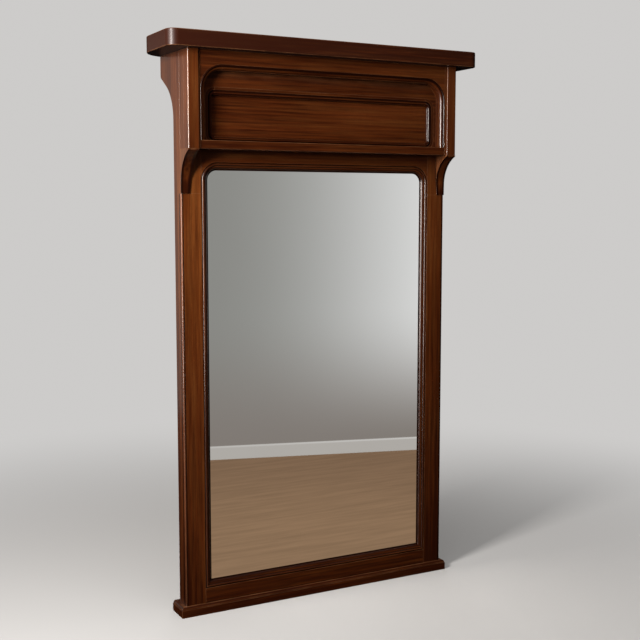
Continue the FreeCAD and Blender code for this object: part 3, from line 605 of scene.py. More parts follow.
def eased(corners, radii, steps=4):
    """Outline whose corners turn on arcs, and the wear and painted shading of its points.

    With unit ways a and b from a corner p to its neighbours, and h half the angle between them, the arc's
    centre is p + r / sin h along a + b. It touches the sides at p + a r / tan h and p + b r / tan h. Its
    points swing evenly from one to the other. A corner of radius nought stays as it is. Wear is the sine
    of the way round an arc, and on a plain point its turn over the worn angle, both minus in a hollow,
    where they paint shade; on an outer edge they stand for edge wear and painted highlight.
    """
    corners = np.asarray(corners, dtype=float)
    radii = np.broadcast_to(np.asarray(radii, dtype=float), len(corners))[:, None]
    before = unit(np.roll(corners, 1, axis=0) - corners)
    after = unit(np.roll(corners, -1, axis=0) - corners)
    half = np.arccos(np.clip((before * after).sum(axis=1), -1.0, 1.0))[:, None] / 2
    centre = corners + unit(before + after) * radii / np.sin(half)
    first = corners + before * radii / np.tan(half) - centre
    last = corners + after * radii / np.tan(half) - centre
    swing = np.maximum(np.pi - 2 * half, 1e-9)[:, None]
    way = np.linspace(0.0, 1.0, steps + 1)[None, :, None]
    swung = np.sin((1 - way) * swing) * first[:, None] + np.sin(way * swing) * last[:, None]
    points = centre[:, None] + swung / np.sin(swing)
    turn = cross(-before, after) * handedness(corners)
    plain = np.arcsin(np.clip(turn, -1.0, 1.0)) / WORN_ANGLE
    wear = np.sign(turn)[:, None] * np.sin(np.pi * way[..., 0])
    wear = np.where(radii > 0, wear, np.clip(plain, -1.0, 1.0)[:, None])
    kept = (radii > 0) | (np.arange(steps + 1)[None] == 0)
    return points[kept], wear[kept]


def rectangle(low, high, radii, steps=3):
    """Outline of a rectangle between two corners, its own corners eased in the order of the radii."""
    (left, bottom), (right, top) = low, high
    return eased([(left, bottom), (right, bottom), (right, top), (left, top)], radii, steps)


def arc(centre, radius, start, end, steps):
    """Points centre + radius (cos t, sin t), with t in even steps."""
    t = np.linspace(start, end, steps + 1)
    return np.asarray(centre) + radius * np.stack([np.cos(t), np.sin(t)], axis=-1)


def outward(points):
    """Unit normals of an outline: across the line between a point's two neighbours, to the outside."""
    along = unit(np.roll(points, -1, axis=0) - np.roll(points, 1, axis=0))
    return np.stack([along[:, 1], -along[:, 0]], axis=-1) * handedness(points)


def round_frame(half_x, half_z, radii, steps=8):
    """Rounded rectangle round the origin: corner centres, unit ways and radii. A point is centre + r way.

    radii are for the corners (+,+), (-,+), (-,-), (+,-), and the ways turn evenly by a quarter at each.
    """
    signs = np.array(((1, 1), (-1, 1), (-1, -1), (1, -1)), dtype=float)
    radii = np.asarray(radii, dtype=float)[:, None]
    centres = signs * (np.array((half_x, half_z)) - radii)
    t = (np.arange(4)[:, None] + np.linspace(0.0, 1.0, steps + 1)[None]) * QUARTER
    ways = np.stack([np.cos(t), np.sin(t)], axis=-1).reshape(-1, 2)
    return np.repeat(centres, steps + 1, axis=0), ways, np.repeat(radii, steps + 1, axis=0)


def moulding(shape, width, depth):
    """Section of a beaded moulding as (inwards from the opening's edge, backwards from its face) points.

    A half circle for the bead stands proud between a quirk and a lower flat, and a quarter circle leads
    from the flat to the floor at the glass or panel. Quirk and flat are painted dark as shade, and the
    crown of the bead is painted lighter as a highlight: the value is (0.5 + the rubbed share) h^4 - 1 at
    the half circle's height h. On the quarter circle it runs from 0.4, less where painted shade gathers
    at its outer edge, over its middle to the painted shade at the floor.
    """
    foot = shape.bead - shape.proud
    near = shape.fillet + shape.quirk
    ledge = foot + shape.drop
    inner = near + 2 * shape.bead + shape.step
    floor = ledge + shape.ovolo
    bead = arc((near + shape.bead, foot), shape.bead, np.pi, 2 * np.pi, 12)
    ovolo = arc((inner, floor), shape.ovolo, -QUARTER, 0.0, 8)
    rest = [(width, floor), (width, depth), (0.0, depth)]
    if shape.fillet > 0:
        rest += [(0.0, 0.0), (shape.fillet, 0.0)]
    rest.append((shape.fillet, foot))
    corners = np.concatenate([bead, [(near + 2 * shape.bead, ledge)], ovolo, rest])
    crisp = setting("edges").crisp
    soft = [0.0] * len(bead) + [crisp] + [0.0] * len(ovolo) + [crisp] * len(rest)
    outline, _ = eased(corners, soft, 2)
    inwards = outline[:, 0]
    height = np.sqrt(np.clip(1 - ((inwards - near - shape.bead) / shape.bead) ** 2, 0.0, 1.0))
    # Painted highlight on the bead's crown, painted shade in quirk and flat.
    crown = (0.5 + shape.rubbed) * height ** 4 - 1.0
    # Painted shade on the quarter circle, at its outer edge and at the floor.
    middle = -0.25 - 0.35 * shape.settled
    quarter = np.interp(inwards - inner, (0.0, 0.25 * shape.ovolo, 0.65 * shape.ovolo, shape.ovolo),
                        (0.4 - 1.4 * shape.gathered, middle, middle, -shape.settled))
    return outline, np.select([inwards < shape.fillet, inwards < inner], [0.0, crown], quarter)


# Rings: arrays of points (ring, point, 3) that a skin is laid over

def eased_ends(span, ease, steps=3):
    """Stations along a span whose ends turn on quarter circles: distance, how far drawn in, and wear."""
    t = np.linspace(0.0, QUARTER, steps + 1)
    near = ease * (1 - np.cos(t))
    inset = ease * (1 - np.sin(t))
    worn_and_shading = np.sin(2 * t)
    return (np.concatenate([near, span - near[::-1]]), np.concatenate([inset, inset[::-1]]),
            np.concatenate([worn_and_shading, worn_and_shading[::-1]]))


def carried(outline, origins, ways):
    """An outline carried along a path: origin + way u, and v backwards, for each of its points (u, v)."""
    return origins[:, None] + ways[:, None] * outline[None, :, :1] + Y_AXIS * outline[None, :, 1:]


def along_grain(rings, axis):
    """Grain coordinates of rings of points: the axis that the grain runs along comes first."""
    return rings[..., GRAIN_ORDERS[axis]]


def prism(outline, wear, axis, start, end, ease):
    """Rings of an outline pushed straight along an axis from start to end, with both ends eased.

    The outline's (u, v) are its places on the other two axes.
    """
    along, first, second = GRAIN_ORDERS[axis]
    distance, inset, worn_and_shading = eased_ends(end - start, ease)
    drawn = outline[None] - outward(outline)[None] * inset[:, None, None]
    rings = np.empty((*drawn.shape[:2], 3))
    rings[..., along] = start + distance[:, None]
    rings[..., [first, second]] = drawn
    wears_and_shading = stronger(worn_and_shading, wear)
    wears_and_shading[[0, -1]] = 0.0
    return rings, wears_and_shading


def stronger(of_rings, of_points, give=1.0):
    """Wear and painted shading at every point of the rings: its ring's or its outline's, whichever is
    stronger.

    give is 1 where a point takes the ring's wear and 0 where it keeps the outline's.
    """
    of_rings = of_rings[:, None] * np.reshape(give, (1, -1))
    return np.where(np.abs(of_rings) > np.abs(of_points[None]), of_rings, of_points[None])


def board_rings(low, high, axis, ease):
    """Rings of a plain board between two corners, its length along an axis and every edge eased."""
    along, *across = GRAIN_ORDERS[axis]
    low, high = np.asarray(low), np.asarray(high)
    outline, wear = rectangle(low[across], high[across], ease)
    return prism(outline, wear, axis, low[along], high[along], ease)


def board_number(name):
    """A steady number between 0 and 1 for each board's name."""
    return (zlib.crc32(name.encode()) % 9973) / 9973.0


def board_tone_and_shade(name, along):
    """Tone of a board at places along it: its own stain, and painted light and shade."""
    tones = next((tones for start, tones in BOARD_TONE_AND_SHADE.items() if name.startswith(start)), (0.0, 0.0))
    from_end = (along - along.min()) / max(np.ptp(along), TINY)
    return np.interp(from_end, np.linspace(0.0, 1.0, len(tones)), tones)


def board_dullness(name):
    return next((dull for start, dull in BOARD_DULLNESS.items() if name.startswith(start)), 0.0)


def mark(mesh, name, grain, wear):
    """Gives a mesh the attributes that the wood finishes read."""
    grain = np.reshape(grain, (-1, 3))
    places = mesh.attributes.new("grain", "FLOAT_VECTOR", "POINT")
    places.data.foreach_set("vector", grain.ravel().astype(np.float32))
    # The wear attribute carries edge wear with painted highlight and shade; tone carries a board's own tone
    # with painted light and shade.
    for key, values in (("wear", wear), ("board", board_number(name)), ("dull", board_dullness(name)),
                        ("tone", board_tone_and_shade(name, grain[:, 0]))):
        values = np.full(len(grain), values, np.float32)
        mesh.attributes.new(key, "FLOAT", "POINT").data.foreach_set("value", values)


def mesh_piece(name, points, faces, grain, wear):
    """Object with a welded, outward facing mesh that carries where each point lies in its board."""
    mesh = bpy.data.meshes.new(name)
    mesh.from_pydata(points.reshape(-1, 3).tolist(), [], faces)
    mark(mesh, name, grain, wear)
    shell = bmesh.new()
    shell.from_mesh(mesh)
    bmesh.ops.remove_doubles(shell, verts=shell.verts, dist=WELD)
    bmesh.ops.recalc_face_normals(shell, faces=shell.faces)
    shell.to_mesh(mesh)
    shell.free()
    return show_mesh(name, mesh)


def show_mesh(name, mesh):
    """Shades a mesh smooth over its curves and flat over its faces, and links it to the scene."""
    mesh.shade_smooth()
    mesh.set_sharp_from_angle(angle=SHARP_ANGLE)
    piece = bpy.data.objects.new(name, mesh)
    bpy.context.scene.collection.objects.link(piece)
    even = piece.modifiers.new("even shading", "WEIGHTED_NORMAL")
    even.keep_sharp = True
    return piece


def skin(name, *shells):
    """Piece made of shells, each (rings, grain, wear, closed), with quads between neighbouring rings.

    Where a shell is closed its last ring joins the first again, and otherwise flat faces close its ends.
    """
    points, faces, grains, wears_and_shading = [], [], [], []
    offset = 0
    for rings, grain, wear, closed in shells:
        count, size = rings.shape[:2]
        ring = np.arange(count if closed else count - 1)[:, None]
        point = np.arange(size)[None]
        here, there = ring * size, (ring + 1) % count * size
        beside = (point + 1) % size
        quads = np.stack([here + point, here + beside, there + beside, there + point], axis=-1)
        faces += (quads.reshape(-1, 4) + offset).tolist()
        if not closed:
            faces += [(offset + point[0]).tolist(), (offset + (count - 1) * size + point[0]).tolist()]
        points.append(rings.reshape(-1, 3))
        grains.append(np.broadcast_to(grain, rings.shape).reshape(-1, 3))
        wears_and_shading.append(np.broadcast_to(wear, rings.shape[:2]).reshape(-1))
        offset += count * size
    return mesh_piece(name, np.concatenate(points), faces, np.concatenate(grains), np.concatenate(wears_and_shading))


def settle(piece, node, slot=STAINED):
    """Gives a piece its finish and its place in the frame, and hides the node that it stands for."""
    piece.data.materials.append(finish_for(slot))
    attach(piece, BODY)
    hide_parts(node)


def place_board(name, node, axis, *shells):
    """Settles a piece in the place of a node, from shells of (rings, wear) with the grain along an axis."""
    shells = [(rings, along_grain(rings, axis), wear, False) for rings, wear in shells]
    settle(skin(name, *shells), node)


def corners_of(node):
    """Lowest and highest corner of a node, as arrays."""
    return [np.asarray(corner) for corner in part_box(node)]


def mirror_rings(rings, side):
    """The rings as they are for the left side (-1), or on the other side of the middle plane (1)."""
    return rings * np.array((-side, 1.0, 1.0))


def side_name(side):
    return "left" if side < 0 else "right"


def board_piece(node, axis, ease):
    """Plain board in the place of a node, with its grain along an axis."""
    place_board(node + "_board", node, axis, board_rings(*corners_of(node), axis, ease))


def vertex_places(mesh):
    places = np.empty(len(mesh.vertices) * 3)
    mesh.vertices.foreach_get("co", places)
    return places.reshape(-1, 3)


def eased_copy(node, axis, ease, slot=STAINED):
    """A node's own shape, welded and with its coplanar triangles joined, and its longer edges turned over.

    The middle line of each turned edge is marked as worn.
    """
    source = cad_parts[node].data
    faces = [tuple(face.vertices) for face in source.polygons]
    mesh = bpy.data.meshes.new(node + "_eased")
    mesh.from_pydata(vertex_places(source).tolist(), [], faces)
    shape = bmesh.new()
    shape.from_mesh(mesh)
    bmesh.ops.remove_doubles(shape, verts=shape.verts, dist=TINY)
    bmesh.ops.dissolve_limit(shape, angle_limit=FLAT_ANGLE, verts=shape.verts, edges=shape.edges)
    edges = [edge for edge in shape.edges if len(edge.link_faces) == 2
             and edge.calc_face_angle() > WORN_ANGLE and edge.calc_length() > SHORT_EDGE]
    made = bmesh.ops.bevel(shape, geom=edges, offset=ease, segments=2, profile=0.5, affect="EDGES",
                           clamp_overlap=True)
    turned = set(made["faces"])
    worn_and_shading = [float(all(face in turned for face in vert.link_faces)) for vert in shape.verts]
    bmesh.ops.recalc_face_normals(shape, faces=shape.faces)
    shape.to_mesh(mesh)
    shape.free()
    mark(mesh, node, along_grain(vertex_places(mesh), axis), worn_and_shading)
    settle(show_mesh(node + "_eased", mesh), node, slot)


def refinish(*nodes):
    """Nodes whose shape is right keep their mesh, and each gets the finish of its slot."""
    for node in nodes:
        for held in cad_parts[node].material_slots:
            held.material = finish_for(held.name.split(".")[0])


# Plinth and main frame

def plinth():
    """Board as a stack of rings whose ends and front stand back by each ring's inset. Its back is upright.

    Over a small step the nose is a quarter circle: its inset is step + r (1 - cos t) at a height r sin t.
    """
    low, high = corners_of("plinth")
    sizes, edges = setting("frieze"), setting("edges")
    crisp = edges.joint
    t = np.linspace(0.0, QUARTER, 9)
    step = high[2] - sizes.nose - sizes.nose_step
    levels = np.concatenate([[low[2], low[2] + crisp, step - crisp, step, step],
                             high[2] - sizes.nose + sizes.nose * np.sin(t)])
    insets = np.concatenate([[crisp, 0.0, 0.0, crisp, sizes.nose_step],
                             sizes.nose_step + sizes.nose * (1 - np.cos(t))])
    # Painted highlight at the step's edge and in two lines round the nose, painted shade in the step's
    # corner and between those lines.
    along_edges = np.concatenate([[0.0, 0.0, 0.0, 1.0, -1.0], sizes.nose_highlight_lines * np.cos(4 * t)])
    plan, wear = rectangle(low[:2], high[:2], [edges.board, edges.board, edges.joint, edges.joint])
    front = np.where(plan[:, 1] < 0.0, 1.0, 0.0)
    x = plan[None, :, 0] - np.sign(plan[None, :, 0]) * insets[:, None]
    y = plan[None, :, 1] + front[None] * insets[:, None]
    rings = np.stack([x, y, np.broadcast_to(levels[:, None], x.shape)], axis=-1)
    worn_and_shading = stronger(along_edges, wear)
    worn_and_shading[-1] *= front
    place_board("plinth_board", "plinth", "x", (rings, worn_and_shading))


def stile(side):
    """Stile with a rounded corner between a quirk and a side groove up to the corbel, and plain above it.

    The quirk and the groove, and a line's width beside them, are painted dark as shade.
    """
    node = "stile_" + side_name(side)
    low, high = corners_of("stile_left")
    sizes, edges = setting("frame"), setting("edges")
    r, crisp, line = sizes.arris, edges.crisp, sizes.shade_line
    arris = arc((low[0] + r, low[1] + r), r, np.pi, 1.5 * np.pi, 8)
    quirk_floor = low[1] + sizes.quirk_depth
    quirk_end = low[0] + r + sizes.quirk_width
    groove = low[1] + sizes.groove_setback
    groove_end = groove + sizes.groove_width
    groove_floor = low[0] + sizes.groove_depth
    quirk = [(low[0] + r, quirk_floor), (quirk_end, quirk_floor), (quirk_end, low[1])]
    beside = [(quirk_end + line, low[1]), (quirk_end + 2 * line, low[1])]
    square = [(high[0], low[1]), (high[0], high[1]), (low[0], high[1])]
    behind = [(low[0], groove_end + 2 * line), (low[0], groove_end + line)]
    cut = [(low[0], groove_end), (groove_floor, groove_end), (groove_floor, groove), (low[0], groove)]
    before = [(low[0], groove - line), (low[0], groove - 2 * line)]
    soft = [0.0] * len(arris) + [crisp] * 3 + [0.0] * 2 + [edges.joint, edges.board, edges.joint]
    soft += [0.0] * 2 + [crisp] * 4 + [0.0] * 2
    plan, wear = eased(np.concatenate([arris, quirk, beside, square, behind, cut, before]), soft, 3)
    across, deep = plan[:, 0] - low[0], plan[:, 1] - groove
    # Painted shade in and beside the quirk and the side groove.
    by_quirk = (deep < -2 * line) & (across > r - TINY) & (across < quirk_end + line - low[0] + TINY)
    by_groove = (deep > -line - TINY) & (deep < sizes.groove_width + line + TINY)
    by_groove &= across < 2 * sizes.groove_depth
    wear = np.where(by_quirk | by_groove, -1.0, wear)
    corbel_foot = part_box("corbel_left")[0].z
    lower, lower_wear_and_shading = prism(plan, wear, "z", low[2], corbel_foot, crisp)
    upper, upper_wear_and_shading = board_rings((low[0], low[1], corbel_foot), high, "z", edges.joint)
    place_board(node + "_post", node, "z", (mirror_rings(lower, side), lower_wear_and_shading),
                (mirror_rings(upper, side), upper_wear_and_shading))


def spandrel_outline(half, foot, level, top, radius, tip):
    """Front view of a rail whose ends run down in tapering horns: the arcs round the opening's corners.

    Each arc turns about (half - radius, level - radius), from where it leaves a tip's thickness to its top.
    """
    start = math.acos((radius - tip) / radius)
    right = arc((half - radius, level - radius), radius, start, QUARTER, 16)
    left = right * np.array((-1.0, 1.0))
    corners = np.concatenate([[(half, foot), (half, top), (-half, top), (-half, foot)], left, right[::-1]])
    soft = np.zeros(len(corners))
    soft[1:3] = setting("edges").joint
    return eased(corners, soft, 3)


def bottom_rail(half):
    """Rail over the plinth, with a line of painted shade where its face meets the plinth's top."""
    low, high = corners_of("bottom_rail")
    joint, line = setting("edges").joint, setting("frame").shade_line
    corners = [(low[1], low[2]), (high[1], low[2]), (high[1], high[2]), (low[1], high[2]),
               (low[1], low[2] + 2 * line), (low[1], low[2] + line)]
    section, wear = eased(corners, [joint] * 4 + [0.0] * 2, 3)
    # Painted shade in the corner where the rail's face meets the plinth.
    by_plinth = (section[:, 0] < low[1] + joint) & (section[:, 1] < low[2] + 1.5 * line)
    wear = np.where(by_plinth, -1.0, wear)
    place_board("bottom_rail_board", "bottom_rail", "x", prism(section, wear, "x", -half, half, joint))


def horned_rail(node, name, side_node, top_node):
    """Rail over an opening, whose rounded ends follow the outer edge of the opening's moulding."""
    low, high = corners_of(node)
    half, top = -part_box(side_node)[0].x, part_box(top_node)[1]
    tip, crisp = setting("frame").spandrel_tip, setting("edges").crisp
    outline, wear = spandrel_outline(half, low[2], top.z, high[2], half - top.x, tip)
    place_board(name, node, "x", prism(outline, wear, "y", low[1], high[1], crisp))


# Mouldings

def straight(start, end, first_way, last_way):
    """Path of two stations, with the way that the section's width runs at each: slanted for a mitre."""
    return np.stack([start, end]), np.stack([first_way, last_way])


def level_path(reach, face, level, way):
    """Path from left to right at one level, the section's width running up or down."""
    return straight((-reach, face, level), (reach, face, level), way, way)


def quarter_turn(centre, radius, start, end, steps=TURN_STEPS):
    """Path on an arc of the front plane: centre + radius (cos t, 0, sin t), the width to the centre."""
    t = np.linspace(start, end, steps + 1)
    ways = np.stack([np.cos(t), np.zeros_like(t), np.sin(t)], axis=-1)
    return np.asarray(centre) + radius * ways, -ways


def moulded_length(name, node, section, path, side=-1):
    """Moulding carried along a path, its grain following the path."""
    outline, wear = section
    origins, ways = path
    rings = carried(outline, origins, ways)
    steps = np.linalg.norm(np.diff(origins, axis=0), axis=1)
    run = np.concatenate([[0.0], np.cumsum(steps)])
    grain = np.stack(np.broadcast_arrays(run[:, None], outline[None, :, 0], outline[None, :, 1]), axis=-1)
    settle(skin(name, (mirror_rings(rings, side), grain, wear, False)), node)


def sight_moulding():
    """Moulding round the glass, mitred at its lower corners and carried round the upper ones."""
    low, high = corners_of("sight_moulding_left")
    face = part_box("stile_left")[0].y
    reach, _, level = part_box("sight_moulding_top")[1]
    half = -low[0]
    radius = half - reach
    section = moulding(setting("sight"), high[0] - low[0], high[1] - face)
    left_foot, right_foot = (-half, face, low[2]), (half, face, low[2])
    side_path = straight(left_foot, (-half, face, level - radius), X_AXIS + Z_AXIS, X_AXIS)
    turn = quarter_turn((-reach, face, level - radius), radius, np.pi, QUARTER)
    moulded_length("sight_bead_bottom", "sight_moulding_bottom", section,
                   straight(left_foot, right_foot, Z_AXIS + X_AXIS, Z_AXIS - X_AXIS))
    moulded_length("sight_bead_top", "sight_moulding_top", section,
                   level_path(reach, face, level, -Z_AXIS))
    for side in SIDES:
        hand = side_name(side)
        moulded_length("sight_bead_" + hand, "sight_moulding_" + hand, section, side_path, side)
        moulded_length("sight_bead_corner_" + hand, "sight_corner_" + hand, section, turn, side)


def opening_moulding():
    """Moulding of the frieze opening, at its sides and top. Under the top, painted shade darkens its bead.
    """
    low, high = corners_of("opening_bead_left")
    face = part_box("frieze_top_rail")[0].y
    reach, _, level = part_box("opening_bead_top")[1]
    half = -low[0]
    radius = half - reach
    shape = setting("opening")
    outline, wear = moulding(shape, high[0] - low[0], high[1] - face)
    inner = shape.quirk + 2 * shape.bead + shape.step
    # Under the top length the bead is painted dark as shade and the quarter round painted lighter; the
    # corners blend into it.
    under_top_shading = np.interp(outline[:, 0], (inner, inner + shape.ovolo / 2), (-1.0, shape.thinned))
    turning = wear + np.linspace(0.0, 1.0, TURN_STEPS + 1)[:, None] * (under_top_shading - wear)
    side_path = straight((-half, face, low[2]), (-half, face, level - radius), X_AXIS, X_AXIS)
    turn = quarter_turn((-reach, face, level - radius), radius, np.pi, QUARTER)
    moulded_length("opening_moulding_top", "opening_bead_top", (outline, under_top_shading),
                   level_path(reach, face, level, -Z_AXIS))
    for side in SIDES:
        hand = side_name(side)
        moulded_length("opening_moulding_" + hand, "opening_bead_" + hand,
                       (outline, wear), side_path, side)
        moulded_length("opening_moulding_corner_" + hand, "opening_bead_corner_" + hand,
                       (outline, turning), turn, side)


def sunk_ring():
    """Ring round the sunk panel: two straight lengths, and two ends of a turn, an upright and a turn."""
    half = -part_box("sunk_bead_end_left")[0].x
    top_low, top_high = corners_of("sunk_bead_top")
    reach, back, top = top_high
    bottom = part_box("sunk_bead_bottom")[0].z
    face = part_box("frieze_field")[0].y
    radius = half - reach
    section = moulding(setting("sunk"), top - top_low[2], back - face)
    moulded_length("sunk_ring_top", "sunk_bead_top", section, level_path(reach, face, top, -Z_AXIS))
    moulded_length("sunk_ring_bottom", "sunk_bead_bottom", section, level_path(reach, face, bottom, Z_AXIS))
    upper = quarter_turn((-reach, face, top - radius), radius, QUARTER, np.pi, 12)
    lower = quarter_turn((-reach, face, bottom + radius), radius, np.pi, 1.5 * np.pi, 12)
    end_path = [np.concatenate(pair) for pair in zip(upper, lower)]
    for side in SIDES:
        hand = side_name(side)
        moulded_length("sunk_ring_end_" + hand, "sunk_bead_end_" + hand, section, end_path, side)


# Frieze box

def post(side):
    """Upright of the frieze box with a larger radius on its outer front corner."""
    low, high = corners_of("frieze_post_left")
    sizes, edges = setting("frieze"), setting("edges")
    radii = [sizes.post_outer, sizes.post_inner, edges.joint, edges.joint]
    plan, wear = rectangle(low[:2], high[:2], radii, 6)
    rings, worn_and_shading = prism(plan, wear, "z", low[2], high[2], edges.board)
    node = "frieze_post_" + side_name(side)
    place_board(node + "_turned", node, "z", (mirror_rings(rings, side), worn_and_shading))


def frieze_bottom():
    """Rail under the frieze opening, its two front edges rounder than the others."""
    low, high = corners_of("frieze_bottom_rail")
    edge, joint = setting("frieze").rail_edge, setting("edges").joint
    section, wear = rectangle(low[1:], high[1:], [edge, joint, joint, edge], 5)
    place_board("frieze_bottom_board", "frieze_bottom_rail", "x",
                prism(section, wear, "x", low[0], high[0], joint))


def field():
    """Board with a rounded opening: the opening's arcs are matched to square corners on the outer edge.

    An outer point is corner centre + (half size - centre) (way / its greater part), which runs up one side
    of the corner and along the other as the way turns. The upper edge is painted lighter, against the shade
    that the opening's moulding casts there.
    """
    low, high = corners_of("frieze_field")
    half = -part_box("sunk_bead_end_left")[0].x
    reach, _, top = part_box("sunk_bead_top")[1]
    middle = (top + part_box("sunk_bead_bottom")[0].z) / 2
    centres, ways, radii = round_frame(half, top - middle, (half - reach,) * 4)
    hole = centres + radii * ways
    square = ways / np.abs(ways).max(axis=1, keepdims=True)
    above = np.where(ways[:, 1] > 0, high[2] - middle, middle - low[2])
    outer = centres + (np.stack([np.full(len(ways), high[0]), above], axis=-1) - np.abs(centres)) * square
    rings = np.stack([np.stack([loop[:, 0], np.full(len(loop), y), loop[:, 1] + middle], axis=-1)
                      for loop, y in ((outer, low[1]), (hole, low[1]), (hole, high[1]), (outer, high[1]))])
    # Painted light along the upper edge, where the opening's moulding shades the field.
    upper = rings[..., 2] > high[2] - setting("edges").board
    wear = np.where(upper, setting("frieze").field_edge_light, 0.0)
    settle(skin("frieze_field_board", (rings, along_grain(rings, "x"), wear, True)), "frieze_field")


def corbel(side):
    """Bracket: a lip, a hollow curve and a thin toe in side view, and a foot narrower than its top.

    Its side view is carried across in stations. Under the taper's level, those of the right half move in
    by the width that the foot has lost, times the share of the taper that lies above a point. A dark
    border of painted shade runs along both long edges of the face, and both side faces are painted lighter.
    """
    low, high = corners_of("corbel_left")
    sizes, edges = setting("frieze"), setting("edges")
    toe, lip = high[1] - sizes.toe, high[2] - sizes.lip
    knee = lip - (toe - low[1]) * math.tan(sizes.slope)
    run = (toe - low[1]) / math.cos(sizes.slope)
    radius = sizes.curve * run / math.tan((QUARTER - sizes.slope) / 2)
    taper_level = low[2] + sizes.taper
    corners = [(high[1], high[2]), (low[1], high[2]), (low[1], lip), (toe, knee),
               (high[1] - sizes.toe_end, low[2]), (high[1], low[2]), (high[1], taper_level)]
    profile, wear = eased(corners, [0.0, 0.0, edges.board, radius, edges.crisp, 0.0, 0.0], 24)
    on_face = (profile[:, 0] < high[1] - edges.board) & (profile[:, 1] < high[2] - edges.board)
    give = np.where(on_face, 1.0, 0.0)
    span = high[0] - low[0]
    distance, inset, _ = eased_ends(span, sizes.corbel_edge, 4)
    middle = len(distance) // 2
    border_shade = np.array((sizes.border_shade, sizes.border_shade_end))
    distance = np.insert(distance, middle, np.concatenate([border_shade, span - border_shade[::-1]]))
    inset = np.insert(inset, middle, np.zeros(4))
    # Painted shade along each long edge of the face, with a painted light line at the very edge.
    worn_and_shading = np.interp(np.minimum(distance, span - distance), (0.0, 0.0001, *border_shade), (0.5, -1.0, -1.0, 0.0))
    drawn = profile[None] - outward(profile)[None] * inset[:, None, None] * give[None, :, None]
    narrow = np.clip((taper_level - drawn[..., 1]) / sizes.taper, 0.0, 1.0) * (span - sizes.foot)
    x = low[0] + distance[:, None] - (distance[:, None] > span / 2) * narrow
    rings = mirror_rings(np.stack([x, drawn[..., 0], drawn[..., 1]], axis=-1), side)
    wears_and_shading = stronger(worn_and_shading, np.maximum(wear, 0.0), give)
    # Painted light on both side faces.
    wears_and_shading[[0, -1]] = sizes.corbel_side
    node = "corbel_" + side_name(side)
    place_board(node + "_bracket", node, "z", (rings, wears_and_shading))


def cornice():
    """Thick board: in plan a rectangle with a radius at each corner, drawn in at its edges."""
    low, high = corners_of("cornice")
    sizes = setting("frieze")
    radii = (sizes.cornice_rear, sizes.cornice_rear, sizes.cornice_front, sizes.cornice_front)
    centres, ways, radii = round_frame(high[0], high[1], radii, 16)
    plan = centres + radii * ways
    place_board("cornice_board", "cornice", "x",
                prism(plan, np.zeros(len(plan)), "z", low[2], high[2], sizes.cornice_edge))


# Stage

# Each lamp's name, place, target, size, the studio setting of its power, its tint and what it lights.
LAMPS = (
    ("key_lamp", (-2.45, -1.20, 2.05), (-0.3, 0.0, 1.3), (0.6, 0.9), "key", (1.0, 0.97, 0.94), "all"),
    ("fill_lamp", (2.4, -1.2, 2.0), (0.0, 0.0, 1.0), (1.2, 1.6), "fill", (1.0, 0.98, 0.96), "body"),
    ("top_lamp", (-0.4, -1.6, 3.8), (0.0, 0.0, 1.0), (2.4, 1.6), "top", (1.0, 0.99, 0.98), "body"),
    ("back_lamp", (1.6, 3.2, 2.2), (0.0, 0.0, 1.0), (1.6, 1.6), "back", (1.0, 0.99, 0.98), "body"),
    ("gleam_lamp", (-3.2, -1.3, 1.2), (0.0, 0.0, 1.0), (1.0, 1.9), "gleam", (1.0, 0.86, 0.79), "polish"),
    ("side_gleam", (-2.2, 3.0, 1.25), (0.0, 0.0, 1.25), (2.0, 2.5), "side_gleam", (1.0, 0.92, 0.83),
     "polish"),
)


def aim(piece, target):
    """Turns a lamp so that it shines at a point."""
    way = (Vector(target) - piece.location).normalized()
    piece.rotation_euler = way.to_track_quat("-Z", "Y").to_euler()


def lamp(name, position, target, size, watts, tint, lights):
    """Soft lamp aimed at a target, which may show in the polish only or light the body of the wood only."""
    data = bpy.data.lights.new(name, "AREA")
    data.shape = "RECTANGLE"
    data.size, data.size_y = size
    data.energy = watts
    data.color = tint
    made = bpy.data.objects.new(name, data)
    made.location = position
    made.visible_diffuse = lights != "polish"
    made.visible_glossy = lights != "body"
    bpy.context.scene.collection.objects.link(made)
    aim(made, target)


def sheet(name, corners):
    """Flat stage surface through its corners."""
    mesh = bpy.data.meshes.new(name)
    mesh.from_pydata(corners, [], [tuple(range(len(corners)))])
    made = bpy.data.objects.new(name, mesh)
    bpy.context.scene.collection.objects.link(made)
    return made


def show_in_glass(surface):
    """Lets the glow of a stage surface reach the mirror glass and nothing else."""
    receivers = bpy.data.collections.new(surface.name + " receivers")
    receivers.objects.link(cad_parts["mirror_glass"])
    surface.light_linking.receiver_collection = receivers


def floor_finish(studio):
    """Pale floor that fades into the backdrop far out, and shows as a wooden floor in the glass.

    On rays that come from neither camera nor polish it has the bounce colour.
    """
    finish = Finish("pale floor")
    spot = finish.spot()
    far = finish.length_of(spot)
    pale = finish.matt(scaled(studio.ground, studio.floor_share))
    seen = finish.blend(far.above(studio.fade_from, studio.fade_to), pale, finish.glow(studio.ground))
    lit = finish.blend(finish.ray("Camera"), finish.matt(studio.bounce), seen)
    planks = finish.noise(spot, (2.2, 26.0, 1.0), 4.0, 0.65).above(0.3, 0.7)
    wood = finish.mix(planks, scaled(studio.reflected_floor, 0.90), scaled(studio.reflected_floor, 1.10))
    # Painted light: the glowing floor seen in the glass is brighter near the mirror.
    near = 1.0 - far.above(0.7, 2.1)
    wood = finish.mix(near, wood, (1.25, 1.26, 1.23), "MULTIPLY")
    finish.output(finish.blend(finish.ray("Glossy"), lit, finish.glow(wood)))
    return finish.material


